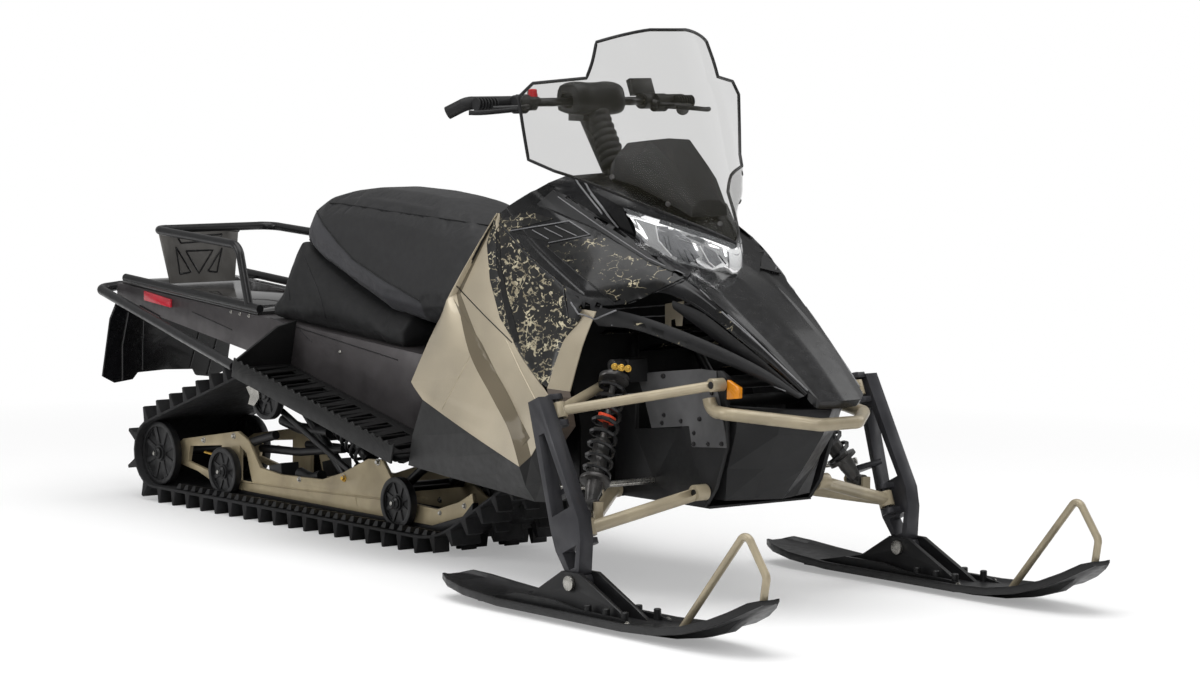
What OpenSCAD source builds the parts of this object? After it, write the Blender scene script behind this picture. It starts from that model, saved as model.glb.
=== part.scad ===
// Utility snowmobile: long single track under a tunnel, two steered skis, a low
// nose with a tall screen, a two-up seat and a cargo rack.
// Millimetres. +X is forward, +Y is the rider's left, +Z is up, the floor is Z = 0.

/* [Overall] */
// Half of the overall length, rear grab bar to ski tips
half_length = 1710; // [1700:1:1730]
// Gap left between pieces that are fastened together
seat_gap = 0.3; // [0.2:0.05:0.5]

/* [Skis] */
// Distance between the ski centre lines
ski_stance = 1074; // [1040:1:1110]
// Length of a ski from heel to tip
ski_length = 1200; // [1170:1:1215]
// Width of the ski blade
ski_width = 178; // [150:1:190]
// Height of the ski blade's edge rib
ski_edge = 16; // [12:0.5:22]
// Depth of the keel under the ski
keel_depth = 18; // [14:0.5:22]
// Diameter of the tip loop's tube
loop_dia = 19; // [14:0.5:22]
// Top of the tip loop
loop_top = 279; // [250:1:290]

/* [Front suspension] */
// Rearward lean of the steering axis, in degrees
caster = 23; // [20:0.5:25]
// Distance of the steering axis inboard of the ski centre line
axis_inset = 47; // [46:1:52]
// Thickness of the spindle casting
spindle_t = 40; // [34:1:46]
// Diameter of the upper arm's tube
upper_tube = 25; // [20:0.5:28]
// Diameter of the lower arm's tube
lower_tube = 32; // [26:0.5:34]
// Diameter of the steering link's bar
link_dia = 16; // [12:0.5:18]
// Length of the steering arm on the spindle
steer_arm = 90; // [84:1:96]
// Outer diameter of the ski shock's spring
spring_dia = 76; // [70:1:80]
// Wire of the ski shock's spring
spring_wire = 11; // [9:0.5:12]
// Height of the spring's lower seat above the shock's lower pin
spring_seat = 74; // [66:1:84]
// Diameter of the front bumper's tube
nose_tube = 32; // [26:0.5:36]

/* [Track and skid] */
// Width of the track
track_width = 381; // [360:1:390]
// Height of the lugs
lug_height = 41; // [32:0.5:44]
// Thickness of the track's belt
belt_t = 8; // [6:0.5:10]
// Pitch of the lug rows
lug_pitch = 76.2; // [70:0.1:84]
// Thickness of a lug at its tip
lug_t = 9; // [7:0.5:12]
// Radius of the rear idler wheels
rear_wheel_r = 94; // [88:0.5:98]
// Radius of the small wheels
small_wheel_r = 71.5; // [66:0.5:74]
// Width of a skid wheel
wheel_w = 22; // [18:0.5:26]
// Thickness of a rail
rail_t = 12; // [9:0.5:14]
// Half spacing of the rails, to their middle
rail_y = 124; // [118:0.5:128]

/* [Tunnel and rack] */
// Half of the tunnel's outer width
tunnel_y = 206; // [202:0.5:210]
// Thickness of the tunnel's sheet
tunnel_t = 4; // [3:0.5:5]
// Reach of the running boards from the centre
board_y = 400; // [380:1:410]
// Height of the running board's outer rail
board_rail = 44; // [36:1:52]
// Diameter of the rear grab bar
rear_tube = 28; // [22:0.5:32]
// Diameter of the rack's rails
rack_tube = 24; // [20:0.5:28]
// Height of the rack's hoop
hoop_top = 806; // [770:1:830]
// Spacing of the rack's accessory holes along the deck
anchor_dx = 480; // [440:1:500]
// Spacing of the rack's accessory holes across the deck
anchor_dy = 300; // [260:1:320]
// Diameter of an accessory hole
anchor_dia = 14; // [10:0.5:18]

/* [Body and controls] */
// Thickness of the plastic panels
panel_t = 6; // [5:0.5:8]
// Thickness of the screen
screen_t = 5; // [4:0.5:6]
// Top of the screen
screen_top = 1420; // [1380:1:1440]
// Half of the handlebar's width
bar_y = 395; // [375:1:410]
// Diameter of the handlebar
bar_dia = 22.2; // [20:0.1:25.4]
// Diameter of the grips
grip_dia = 34; // [30:0.5:38]
// Diameter of the steering post
post_dia = 32; // [26:0.5:36]

/* [Hidden] */
$fn = 48;
BLACK = [0.10, 0.10, 0.11];
DARK = [0.22, 0.22, 0.23];
TAN = [0.66, 0.60, 0.50];
STEEL = [0.70, 0.70, 0.72];
RED = [0.80, 0.12, 0.12];
AMBER = [0.95, 0.55, 0.05];
CLEAR = [0.75, 0.74, 0.68];

// Steering axis: lower joint, unit vector up it and unit vector ahead of it
lower_joint = [985, ski_stance / 2 - axis_inset, 215];
up_axis = [-sin(caster), 0, cos(caster)];
fore_axis = [cos(caster), 0, sin(caster)];
joint_rise = 300;
upper_joint = lower_joint + joint_rise * up_axis;
arm_rise = 104;
link_rise = arm_rise + 24;
link_pin = lower_joint + link_rise * up_axis - steer_arm * fore_axis;
eye_r = 20;
eye_h = 38;
pin_r = 8;

// Skid layout: belt circles as x, z, r in the running order
belt_z = lug_height + belt_t;
idler_x = -1452;
curve_r = 350;
belt_circles = [
    [idler_x, belt_z + rear_wheel_r, rear_wheel_r],
    [-140, belt_z + curve_r, curve_r],
    [262, belt_z + 271, 82],
    [-903, belt_z + 312, small_wheel_r]];
carrier = belt_circles[3];
driver = belt_circles[2];
belt_gap = 1;

// Tunnel top line
function deck_z(x) = 592 - 0.0627 * (x + 889);

// Steering post: top clamp and unit vector up it
post_top = [344, 0, 1185];
post_axis = [-0.588, 0, 0.809];
post_drop = 300;
bar_z = post_top[2] + 37;
bar_bend = [372, 130, bar_z + 4];
bar_end = [312, bar_y - 36, bar_z + 2];

function unit(v) = v / norm(v);
function mix(a, b, f) = a + (b - a) * f;
function mirrored(p) = [p[0], -p[1], p[2]];

// Round bar between two points
module rod(p, q, r) {
    d = q - p;
    translate(p)
        rotate([0, acos(d[2] / norm(d)), atan2(d[1], d[0])])
            cylinder(h = norm(d), r = r);
}

// Tube through points, with a round elbow at each inner one
module bent(pts, r, bend) {
    n = len(pts);
    dirs = [for (i = [0:n - 2]) unit(pts[i + 1] - pts[i])];
    half = [for (i = [0:n - 1]) (i == 0 || i == n - 1) ? 0 : acos(dirs[i - 1] * dirs[i]) / 2];
    cut = [for (i = [0:n - 1]) bend * tan(half[i])];
    for (i = [0:n - 2])
        rod(pts[i] + dirs[i] * max(0, cut[i] - (i > 0 ? 2 : 0)),
            pts[i + 1] - dirs[i] * max(0, cut[i + 1] - (i < n - 2 ? 2 : 0)), r);
    for (i = [1:n - 2]) {
        u = dirs[i - 1];
        side = unit(dirs[i] - u);
        mid = pts[i] + side * bend / cos(half[i]);
        from = unit(pts[i] - u * cut[i] - mid);
        w = cross(from, u);
        multmatrix([
            [from[0], u[0], w[0], mid[0]],
            [from[1], u[1], w[1], mid[1]],
            [from[2], u[2], w[2], mid[2]]])
            rotate_extrude(angle = 2 * half[i])
                translate([bend, 0])
                    circle(r + 0.25);
    }
}

// Flat plate of an x-z outline, from y up to y + t
module plate(pts, y, t) {
    translate([0, y + t, 0])
        rotate([90, 0, 0])
            linear_extrude(t)
                polygon(pts);
}

// Round bar along y
module bar(x, z, r, y, t) {
    translate([x, y + t, z])
        rotate([90, 0, 0])
            cylinder(h = t, r = r);
}

module both() {
    children();
    mirror([0, 1, 0])
        children();
}

// Sheet between an outer and an inner grid of points
module sheet(outer, inner) {
    rows = len(outer);
    cols = len(outer[0]);
    pts = concat([for (r = outer) for (p = r) p], [for (r = inner) for (p = r) p]);
    n = rows * cols;
    top = [for (i = [0:rows - 2]) for (j = [0:cols - 2])
        let (a = i * cols + j, b = a + cols)
            each [[a, a + 1, b], [b, a + 1, b + 1]]];
    low = [for (f = top) [f[0] + n, f[2] + n, f[1] + n]];
    ends = [for (j = [0:cols - 2])
        let (a = j, b = (rows - 1) * cols + j)
            each [[a, a + n, a + 1 + n], [a, a + 1 + n, a + 1],
                [b, b + 1, b + 1 + n], [b, b + 1 + n, b + n]]];
    sides = [for (i = [0:rows - 2])
        let (a = i * cols, b = a + cols, c = a + cols - 1, d = c + cols)
            each [[a, b, b + n], [a, b + n, a + n], [c, d + n, d], [c, c + n, d + n]]];
    polyhedron(pts, concat(top, low, ends, sides));
}

// Body panel: its inner side is drawn in towards the machine's core
function core(p) = [max(250, min(900, p[0])), 0, 640];
function inward(g, t) = [for (r = g) [for (p = r) p + t * unit(core(p) - p)]];
module panel(g, t = panel_t) {
    sheet(g, inward(g, t));
}

// Solid through closed rings of points, capped at both ends
module loft(rings) {
    k = len(rings);
    m = len(rings[0]);
    mid0 = [for (a = [0:2]) mean([for (p = rings[0]) p[a]])];
    mid1 = [for (a = [0:2]) mean([for (p = rings[k - 1]) p[a]])];
    pts = concat([for (r = rings) for (p = r) p], [mid0, mid1]);
    walls = [for (i = [0:k - 2]) for (j = [0:m - 1])
        let (a = i * m + j, b = i * m + (j + 1) % m, c = a + m, d = b + m)
            each [[a, b, c], [b, d, c]]];
    caps = [for (j = [0:m - 1])
        let (b = (j + 1) % m, e = (k - 1) * m)
            each [[k * m, b, j], [k * m + 1, e + j, e + b]]];
    polyhedron(pts, concat(walls, caps));
}
function total(v, i = 0) = i < len(v) ? v[i] + total(v, i + 1) : 0;
function mean(v) = total(v) / len(v);

// Helical wire spring about the z axis
module spring(length, r, wire, turns) {
    steps = 12;
    count = turns * steps;
    half = wire * sin(60);
    loft([for (i = [0:count])
        [for (j = [0:5])
            let (a = 360 * i / steps, b = -60 * j)
                [(r + wire * cos(b)) * cos(a), (r + wire * cos(b)) * sin(a), half + wire * sin(b)
                    + (length - 2 * half) * i / count]]]);
}

// Turn children from the z axis to lie along p to q
module along(p, q) {
    d = q - p;
    translate(p)
        rotate([0, acos(d[2] / norm(d)), atan2(d[1], d[0])])
            children();
}

// Track loop
function turn(i) = let (a = belt_circles[i], b = belt_circles[(i + 1) % 4], d = [b[0] - a[0], b[1] - a[1]])
    (i == 3 ? 360 : 0) + atan2(d[1], d[0]) + asin((a[2] - b[2]) / norm(d));
heading = [turn(0), turn(1), turn(2), turn(3)];
entry = [heading[3] - 360, heading[0], heading[1], heading[2]];
function rim(i, a, extra = 0) = let (c = belt_circles[i])
    [c[0] + (c[2] + extra) * sin(a), c[1] - (c[2] + extra) * cos(a)];
arc_len = [for (i = [0:3]) (heading[i] - entry[i]) * PI / 180 * belt_circles[i][2]];
run_len = [for (i = [0:3]) norm(rim((i + 1) % 4, heading[i]) - rim(i, heading[i]))];
start_at = [for (i = [0:3]) total([for (j = [0:1:i - 1]) arc_len[j] + run_len[j]])];
belt_length = total(arc_len) + total(run_len);
lug_rows = round(belt_length / lug_pitch / 2) * 2;
function which(s) = s < start_at[1] ? 0 : s < start_at[2] ? 1 : s < start_at[3] ? 2 : 3;
function station(s) = let (i = which(s), d = s - start_at[i],
        a = d < arc_len[i] ? entry[i] + (heading[i] - entry[i]) * d / arc_len[i] : heading[i],
        p = rim(i, a))
    d < arc_len[i] ? [p[0], p[1], a]
        : [p[0] + (d - arc_len[i]) * cos(a), p[1] + (d - arc_len[i]) * sin(a), a];

// Point at a distance s along the loop, raised out of the belt's inner face
function on_belt(s, up) = let (w = s < 0 ? s + belt_length : s, at = station(w))
    [at[0] + up * sin(at[2]), at[1] - up * cos(at[2])];

// Slice of the track across y, with a lug on each row that the slice takes
module track_slice(y, w, first) {
    step = belt_length / lug_rows;
    base = lug_t * 1.3;
    tip = lug_t / 2;
    outer = [for (k = [0:lug_rows - 1]) each concat([on_belt((k - 0.5) * step, belt_t),
        on_belt(k * step - base, belt_t)],
        k % 2 == first || first == 2 ? [
            on_belt(k * step, belt_z)
                + tip * (on_belt(k * step - base, 0) - on_belt(k * step, 0)) / base,
            on_belt(k * step, belt_z)
                + tip * (on_belt(k * step + base, 0) - on_belt(k * step, 0)) / base] : [],
        [on_belt(k * step + base, belt_t)])];
    inner = [for (k = [0:lug_rows - 1]) each [on_belt((k - 0.5) * step, 0), on_belt(k * step - base, 0),
        on_belt(k * step + base, 0)]];
    n = len(outer);
    translate([0, y + w, 0])
        rotate([90, 0, 0])
            linear_extrude(w)
                polygon(concat(outer, inner),
                    [[for (i = [0:n - 1]) i], [for (i = [0:len(inner) - 1]) n + i]]);
}

module track() {
    half = track_width / 2;
    color(BLACK) {
        both() {
            track_slice(-half, half * 0.26, 2);
            track_slice(-half * 0.74, half * 0.24, 1);
            track_slice(-half * 0.5, half * 0.24, 0);
        }
        track_slice(-half * 0.26, half * 0.52, 1);
    }
}

// Spoked wheel about the y axis, its inner face at y
module wheel(x, z, r, y, w, bore) {
    translate([x, y + w, z])
        rotate([90, 0, 0]) {
            linear_extrude(w)
                difference() {
                    circle(r);
                    circle(r - 13);
                }
            linear_extrude(w)
                difference() {
                    circle(bore + 11);
                    circle(bore);
                }
            translate([0, 0, w * 0.3])
                linear_extrude(w * 0.4)
                    difference() {
                        circle(r - 12);
                        circle(bore + 10);
                        for (k = [0:7])
                            rotate(45 * k)
                                polygon([[bore + 15, -4], [r - 17, -r * 0.24],
                                    [r - 17, r * 0.24], [bore + 15, 4]]);
                    }
            translate([0, 0, w * 0.45])
                linear_extrude(w * 0.1)
                    difference() {
                        circle(r - 12);
                        circle(bore + 10);
                    }
        }
}

rail_low = belt_z + 21;
rail_outline = [[idler_x + 30, 118], [-1300, 102], [-1190, rail_low], [-140, rail_low], [0, rail_low + 40],
    [45, 152], [38, 176], [-20, 146], [-120, 116], [-230, 120], [-310, 157], [-375, 226], [-440, 222],
    [-560, 172], [-662, 142], [-868, 135], [-973, 144], [-1032, 215], [-1091, 238], [-1378, 190],
    [idler_x + 30, 168]];

module skid_rails() {
    color(TAN)
        both()
            difference() {
                union() {
                    plate(rail_outline, rail_y - rail_t / 2, rail_t);
                    bar(idler_x, belt_circles[0][1], 34, rail_y - rail_t / 2, rail_t);
                }
                bar(idler_x, belt_circles[0][1], 12.5 + seat_gap, 0, 200);
                plate([[-1350, 126], [-1210, 104], [-1172, 124], [-1172, 190], [-1340, 172]], 0, 200);
                plate([[-1078, 98], [-1012, 94], [-1042, 178], [-1078, 198]], 0, 200);
                plate([[-800, 88], [-500, 88], [-520, 112], [-800, 116]], 0, 200);
            }
}

module skid_slides() {
    color(BLACK)
        both()
            plate([[-1180, belt_z + 2], [-140, belt_z + 2], [-70, belt_z + 10], [0, belt_z + 33],
                [44, belt_z + 58], [46, 151], [1, rail_low + 40 - seat_gap], [-140, rail_low - seat_gap],
                [-1180, rail_low - seat_gap]], rail_y - rail_t / 2 - 4, rail_t + 8);
}

module rear_idlers() {
    z = belt_circles[0][1];
    color(BLACK)
        both()
            wheel(idler_x, z, rear_wheel_r - belt_gap, 146, wheel_w, 12.5 + seat_gap);
    color(STEEL)
        bar(idler_x, z, 12.5, -146 - wheel_w - 4, 2 * (146 + wheel_w + 4));
}

module bogie_wheels() {
    color(BLACK)
        both()
            for (x = [idler_x + 332, -263]) {
                wheel(x, belt_z + small_wheel_r, small_wheel_r - belt_gap, 142, wheel_w, 10);
                bar(x, belt_z + small_wheel_r, 10.2, rail_y + rail_t / 2 + seat_gap, 36);
            }
}

module carrier_wheels() {
    color(BLACK)
        both()
            wheel(carrier[0], carrier[1], small_wheel_r - belt_gap, 140, wheel_w, 10 + seat_gap);
    color(STEEL)
        bar(carrier[0], carrier[1], 10, -140 - wheel_w - 3, 2 * (140 + wheel_w + 3));
}

// Skid arms: pivots on the rails, mount in the tunnel and the ties that hold the shock
rear_pivot = [-590, 0, 105];
front_pivot = [-340, 0, 150];
front_top = [-40, 0, 350];
skid_tie_front = mix(front_pivot, front_top, 0.55);
skid_tie_rear = mix(rear_pivot, [carrier[0], 0, carrier[1]], 0.55);
module skid_arms() {
    reach = rail_y - rail_t / 2 - seat_gap;
    wall = tunnel_y - tunnel_t - seat_gap;
    color(DARK) {
        bar(rear_pivot[0], rear_pivot[2], 11, -reach, 2 * reach);
        bar(front_pivot[0], front_pivot[2], 14, -reach, 2 * reach);
        bar(front_top[0], front_top[2], 14, -wall, 2 * wall);
        both() {
            rod(front_pivot + [0, 80, 0], front_top + [0, 80, 0], 13);
            difference() {
                rod(rear_pivot + [0, 60, 0], [carrier[0], 60, carrier[1]], 15);
                bar(carrier[0], carrier[1], 10 + seat_gap, -200, 400);
            }
        }
        bar(skid_tie_front[0], skid_tie_front[2], 10, -80, 160);
        bar(skid_tie_rear[0], skid_tie_rear[2], 10, -60, 120);
    }
}

module skid_shocks() {
    back = skid_tie_rear + [10.3, 0, 0];
    front = skid_tie_front - [10.3, 0, 0];
    color(STEEL) {
        rod(back, front, 11);
        rod(mix(back, front, 0.2), mix(back, front, 0.62), 24);
    }
}

module drive_axle() {
    wall = tunnel_y - tunnel_t - seat_gap;
    color(DARK) {
        bar(driver[0], driver[1], 16, -wall, 2 * wall);
        both()
            difference() {
                bar(driver[0], driver[1], driver[2] - belt_gap - 1, 60, 26);
                for (k = [0:5])
                    bar(driver[0] + 48 * cos(60 * k), driver[1] + 48 * sin(60 * k), 14, 0, 200);
            }
    }
}

tunnel_low = [[-1620, 585], [-740, 462], [-60, 318], [40, 268], [420, 268]];
tunnel_rear = tunnel_low[0][0];
tunnel_front = 420;

module tunnel() {
    top = [[tunnel_front, deck_z(tunnel_front)], [tunnel_rear, deck_z(tunnel_rear)]];
    color(DARK)
        difference() {
            union() {
                both()
                    plate(concat(tunnel_low, top), tunnel_y - tunnel_t, tunnel_t);
                plate(concat(top, [top[1] - [0, tunnel_t], top[0] - [0, tunnel_t]]), -tunnel_y + 1,
                    2 * tunnel_y - 2);
                plate([[tunnel_front - tunnel_t, 268], [tunnel_front, 268], top[0],
                    top[0] - [tunnel_t, 0]], -tunnel_y + 1, 2 * tunnel_y - 2);
            }
        }
}

// Running board, laid along its own slope
board_rear = [-706, 472];
board_slope = 12.6;
board_len = 772;
board_t = 4;

module running_boards() {
    tip = board_rail * 0.55;
    color(DARK)
        both()
            translate([board_rear[0], 0, board_rear[1]])
                rotate([0, board_slope, 0]) {
                    difference() {
                        translate([-3, tunnel_y + seat_gap, -8])
                            cube([board_len, board_y - 3 - tunnel_y - seat_gap, board_t]);
                        for (k = [0:8])
                            translate([60 + 78 * k, tunnel_y + 38, -20])
                                linear_extrude(40)
                                    polygon([[0, 0], [34, 0], [60, 112], [26, 112]]);
                    }
                    plate(concat([[0, -board_rail * 0.7], [board_len, -board_rail * 0.7]],
                        [for (k = [24:-1:1]) each [[board_len * k / 24, tip],
                            [board_len * (k - 0.4) / 24, tip - 8], [board_len * (k - 0.6) / 24, tip - 8]]],
                        [[0, tip]]), board_y - 6, 6);
                    translate([-5, 0, 0])
                        rotate([90, 0, 90])
                            linear_extrude(7)
                                polygon([[tunnel_y + seat_gap, -14], [board_y - 2, -14], [board_y - 2, 12],
                                    [tunnel_y + 60, 108], [tunnel_y + seat_gap, 122]]);
                }
}

grab_x = -half_length + rear_tube / 2;
module rear_bumper() {
    r = rear_tube / 2;
    color(BLACK) {
        bent([[board_rear[0] - 14, board_y - 14, board_rear[1] - 4],
            [grab_x + 8, 226, 616], [grab_x, 150, 622],
            [grab_x, -150, 622], [grab_x + 8, -226, 616],
            [board_rear[0] - 14, -board_y + 14, board_rear[1] - 4]],
            r, 40);
        both()
            difference() {
                translate([grab_x, 96, 592])
                    cube([tunnel_rear - seat_gap - grab_x, 14, 46]);
                rod([grab_x, 0, 622], [grab_x, 200, 622], r - 1);
            }
    }
}

module snow_flap() {
    pts = [[0, 0], [tunnel_y - 4, 0], [tunnel_y + 14, -60], [tunnel_y + 14, -240], [tunnel_y - 30, -262],
        [112, -254], [98, -234], [0, -230]];
    color(BLACK)
        translate([tunnel_rear - seat_gap, 0, 586])
            rotate([0, 14, 0])
                rotate([90, 0, -90])
                    linear_extrude(8)
                        polygon(concat(pts, [for (i = [len(pts) - 2:-1:1]) [-pts[i][0], pts[i][1]]]));
}

rack_pitch = atan(0.0627);
rack_x = -1600;
rack_len = 720;
module rack_deck() {
    color(DARK)
        translate([rack_x, 0, deck_z(rack_x) + seat_gap])
            rotate([0, rack_pitch, 0])
                difference() {
                    translate([0, -tunnel_y + 6, 0])
                        cube([rack_len, 2 * tunnel_y - 12, 10]);
                    for (x = [-1, 1])
                        for (y = [-1, 1])
                            translate([rack_len / 2 + x * anchor_dx / 2, y * anchor_dy / 2, -1])
                                cylinder(h = 12, d = anchor_dia);
                }
}

module rack_rails() {
    r = rack_tube / 2;
    y = tunnel_y + r - 5;
    lift = 10 + seat_gap + r;
    color(BLACK) {
        bent([[-905, y, deck_z(-905) + lift], [-960, y, hoop_top - 20], [-1418, y - 8, hoop_top],
            [-1418, 8 - y, hoop_top], [-960, -y, hoop_top - 20], [-905, -y, deck_z(-905) + lift]], r, 45);
        both() {
            rod([-1560, y, deck_z(-1560) + lift], [-850, y, deck_z(-850) + lift], r);
            for (x = [-1500, -1240, -1000])
                translate([x - 15, y - 24, deck_z(x) + 10 + seat_gap + 1.4])
                    cube([30, 24, 7]);
        }
    }
}

module rack_board() {
    r = rack_tube / 2;
    foot = -1470;
    stay_z = hoop_top - 12;
    z = deck_z(foot - 10) + 10 + 2 * seat_gap + 1.2;
    color(BLACK) {
        translate([foot, 0, z])
            rotate([0, -8, 0])
                rotate([90, 0, -90])
                    linear_extrude(8)
                        polygon([[-112, 0], [112, 0], [140, hoop_top - 4 - z], [-140, hoop_top - 4 - z]]);
        both()
            rod([-1496, 96, stay_z], [-1418 - sqrt(r * r - 36) - seat_gap, 96, stay_z], 6);
    }
}

module tail_lamps() {
    color(RED) {
        both()
            plate([[-1462, 596], [-1318, 584], [-1318, 608], [-1462, 624]], tunnel_y + seat_gap, 6);
        translate([tunnel_rear - 6, -80, 600])
            cube([22, 160, deck_z(tunnel_rear + 16) - tunnel_t - 600.4]);
    }
}

// Seat sections: x, bottom z, top z, half width at the bottom, half width at the top
seat_rows = [
    [-716, 826, 868, 150, 132],
    [-690, 800, 915, 168, 140],
    [-630, 762, 944, 178, 150],
    [-476, 700, 962, 188, 158],
    [-300, 640, 958, 196, 160],
    [-120, 622, 944, 200, 158],
    [20, 640, 905, 196, 150],
    [96, 700, 850, 180, 140]];
function seat_ring(s) = let (x = s[0], a = s[1], b = s[2], p = s[3], q = s[4]) [
    [x, 0, a], [x, -p * 0.8, a], [x, -p, a + (b - a) * 0.12], [x, -mix(p, q, 0.55) - 4, mix(a, b, 0.5)],
    [x, -q, mix(a, b, 0.84)], [x, -q * 0.82, mix(a, b, 0.96)], [x, -q * 0.4, b], [x, q * 0.4, b],
    [x, q * 0.82, mix(a, b, 0.96)], [x, q, mix(a, b, 0.84)], [x, mix(p, q, 0.55) + 4, mix(a, b, 0.5)],
    [x, p, a + (b - a) * 0.12], [x, p * 0.8, a]];
module seat_cushion() {
    color(BLACK)
        loft([for (s = seat_rows) seat_ring(s)]);
}

module seat_base() {
    z0 = 6;
    rows = [[-826, 640], [-760, 770], [-724, 812], [-700, 796],
        [-630, 760], [-476, 698], [-300, 638], [-200, 628]];
    color(BLACK)
        loft([for (s = rows)
            let (x = s[0], a = deck_z(x) + 1, b = s[1] + 1.6, q = b > a + 30 ? 186 : 184)
                [[x, 0, a], [x, -q, a], [x, -q - 6, mix(a, b, 0.5)], [x, -q * 0.84, b], [x, 0, b],
                    [x, q * 0.84, b], [x, q + 6, mix(a, b, 0.5)], [x, q, a]]]);
}

// Ridge from the foot of the screen down to the nose, right side
ridge = [[453, -205, 1023], [640, -205, 950], [808, -190, 878], [1000, -147, 775], [1190, -108, 655],
    [1325, -84, 552]];
// Lower edge of the shoulder, below the same stations and two more between them
shoulder_top = [ridge[0], mix(ridge[0], ridge[1], 0.6) - [0, 3, 0], mix(ridge[1], ridge[2], 0.5) - [0, 2, 0],
    ridge[2],
    mix(ridge[2], ridge[3], 0.5), ridge[3], ridge[4], ridge[5]];
shoulder_low = [[350, -280, 943], [518, -312, 846], [752, -334, 734], [842, -266, 742], [905, -206, 772],
    [1012, -160, 732], [1178, -112, 630], [1320, -88, 544]];
module shoulder_panels() {
    rows = [for (f = [0, 0.22, 0.27, 0.62, 0.8, 0.85, 1])
        [for (j = [0:7])
            let (bow = j < 5 ? 1 : 0.25, step = f > 0.25 && f < 0.82 ? 5 : 0)
                mix(shoulder_top[j] - [0, 0.9, 0.9], shoulder_low[j], f)
                    + [0, -26 * bow * f * (1 - f) - bow * step, 0]]];
    color(BLACK)
        both()
            panel(rows);
}

// Bars that frame the intake, from the shoulder's corner to the nose
blade_top = [[772, -318.6, 735.2], [872, -244, 714], [1020, -166, 664],
    [1177, -110, 604], [1318, -88.4, 543.4]];
blade_low = [[776, -296, 684], [872, -250, 678], [1020, -174, 629], [1177, -115, 575], [1298, -90, 534]];
module side_blades() {
    color(BLACK)
        both()
            panel([for (f = [0, 0.3, 0.7, 1])
                [for (j = [0:4]) mix(blade_top[j], blade_low[j], f) + [0, -24 * f * (1 - f), 0]]], 14);
}

// Rear and front edges of the side panel and the crease between, top to bottom
side_rear = [[336, -279.7, 942.5], [270, -292, 845], [186, -302, 735], [105, -318, 610], [35, -330, 485],
    [62, -340, 474], [128, -360, 448]];
side_fold = [[342, -279.9, 942.5], [279, -293, 845], [200, -306, 727], [322, -356, 588], [466, -390, 484],
    [552, -402, 410], [600, -404, 322]];
side_step = [[346, -280, 942.5], [288, -293, 846], [214, -303, 728], [352, -338, 602], [500, -366, 498],
    [588, -386, 424], [640, -398, 352]];
side_front = [[350, -280.1, 942.5], [360, -294, 832], [398, -311, 730], [502, -345, 617], [648, -379, 535],
    [708, -400, 511], [731, -402, 439]];
module side_panels() {
    rows = [for (i = [0:6])
        let (bow = 4 + 8 * sin(30 * i))
            [side_rear[i], mix(side_rear[i], side_fold[i], 0.35) - [0, bow, 0],
                mix(side_rear[i], side_fold[i], 0.7) - [0, bow, 0], side_fold[i], side_step[i],
                mix(side_step[i], side_front[i], 0.5) - [0, bow * 0.5, 0], side_front[i]]];
    color(TAN)
        both()
            panel(rows);
}

// Patterned inserts between the side panel's front edge and the shoulder
insert_rear = [[353.5, -281, 940.4], [363.5, -294.6, 832], [401.5, -311.7, 730], [505, -345.7, 618.5],
    [650, -380, 538]];
insert_front = [[376, -285, 927.5], [518, -312, 845.5], [751.5, -334, 733.5],
    [706, -352, 640], [690, -388, 528]];
module side_inserts() {
    color(BLACK)
        both()
            panel([for (i = [0:4])
                [for (f = [0, 0.12, 0.5, 0.88, 1])
                    mix(insert_rear[i], insert_front[i], f)
                        - [0, f > 0.05 && f < 0.95 ? 6 * sin(45 * i) : 0, 0]]]);
}

side_low = [side_rear[6], mix(side_rear[6], side_fold[6], 0.5), mix(side_rear[6], side_fold[6], 0.8),
    side_fold[6], side_step[6], side_front[6]];
belly_low = [[52, -350, 268], [200, -345, 255], [420, -335, 238], [570, -330, 225], [640, -318, 230],
    [690, -300, 242]];
module belly_pan() {
    in_y = tunnel_y + 3.4;
    edge = [for (p = belly_low) [p[0], -in_y, max(272, p[2] + 20)]];
    top = [for (p = side_low) p - [0, 0, 0.4]];
    rows = [top, [for (j = [0:5]) mix(top[j], belly_low[j], 0.55) + [0, -8, 0]], belly_low, edge];
    color(DARK) {
        both()
            panel(rows);
        translate([tunnel_front + seat_gap, -tunnel_y, 240.4])
            cube([700 - tunnel_front, 2 * tunnel_y, 6.2]);
    }
}

nose_rows = [
    [ridge[1], [756, -162, 898], [852, -98, 838], [915, -48, 822], [950, 0, 815]],
    [ridge[2], [905, -137, 824], [985, -100, 786], [1020, -90, 766], [1042, 0, 758]],
    [ridge[3], [1058, -120, 742], [1112, -98, 712], [1128, -88, 698], [1150, 0, 690]],
    [ridge[4], [1218, -98, 636], [1243, -88, 624], [1250, -78, 612], [1262, 0, 608]],
    [ridge[5], [1338, -80, 546], [1346, -76, 540], [1349, -66, 530], [1356, 0, 530]],
    [[1322, -84, 536], [1330, -78, 524], [1336, -70, 516], [1338, -60, 512], [1342, 0, 510]]];
function across(r) = concat(r, [for (i = [len(r) - 2:-1:0]) mirrored(r[i])]);
module nose() {
    color(BLACK)
        panel([for (r = nose_rows) across(r)]);
}

lamp_top = [[716, -172, 972], [842, -92, 932], [908, -46, 909], [949, 0, 890]];
lamp_low = [nose_rows[0][1], nose_rows[0][2], nose_rows[0][3], nose_rows[0][4]];
module headlamp() {
    rows = [for (f = [0.008, 0.3, 0.7, 0.95])
        [for (p = across([for (j = [0:3]) mix(lamp_top[j], lamp_low[j], f)]))
            p + [16 * 4 * f * (1 - f) - (f > 0.9 ? 7 : 0), 0, 0]]];
    color(CLEAR)
        panel(rows, 30);
}

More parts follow.
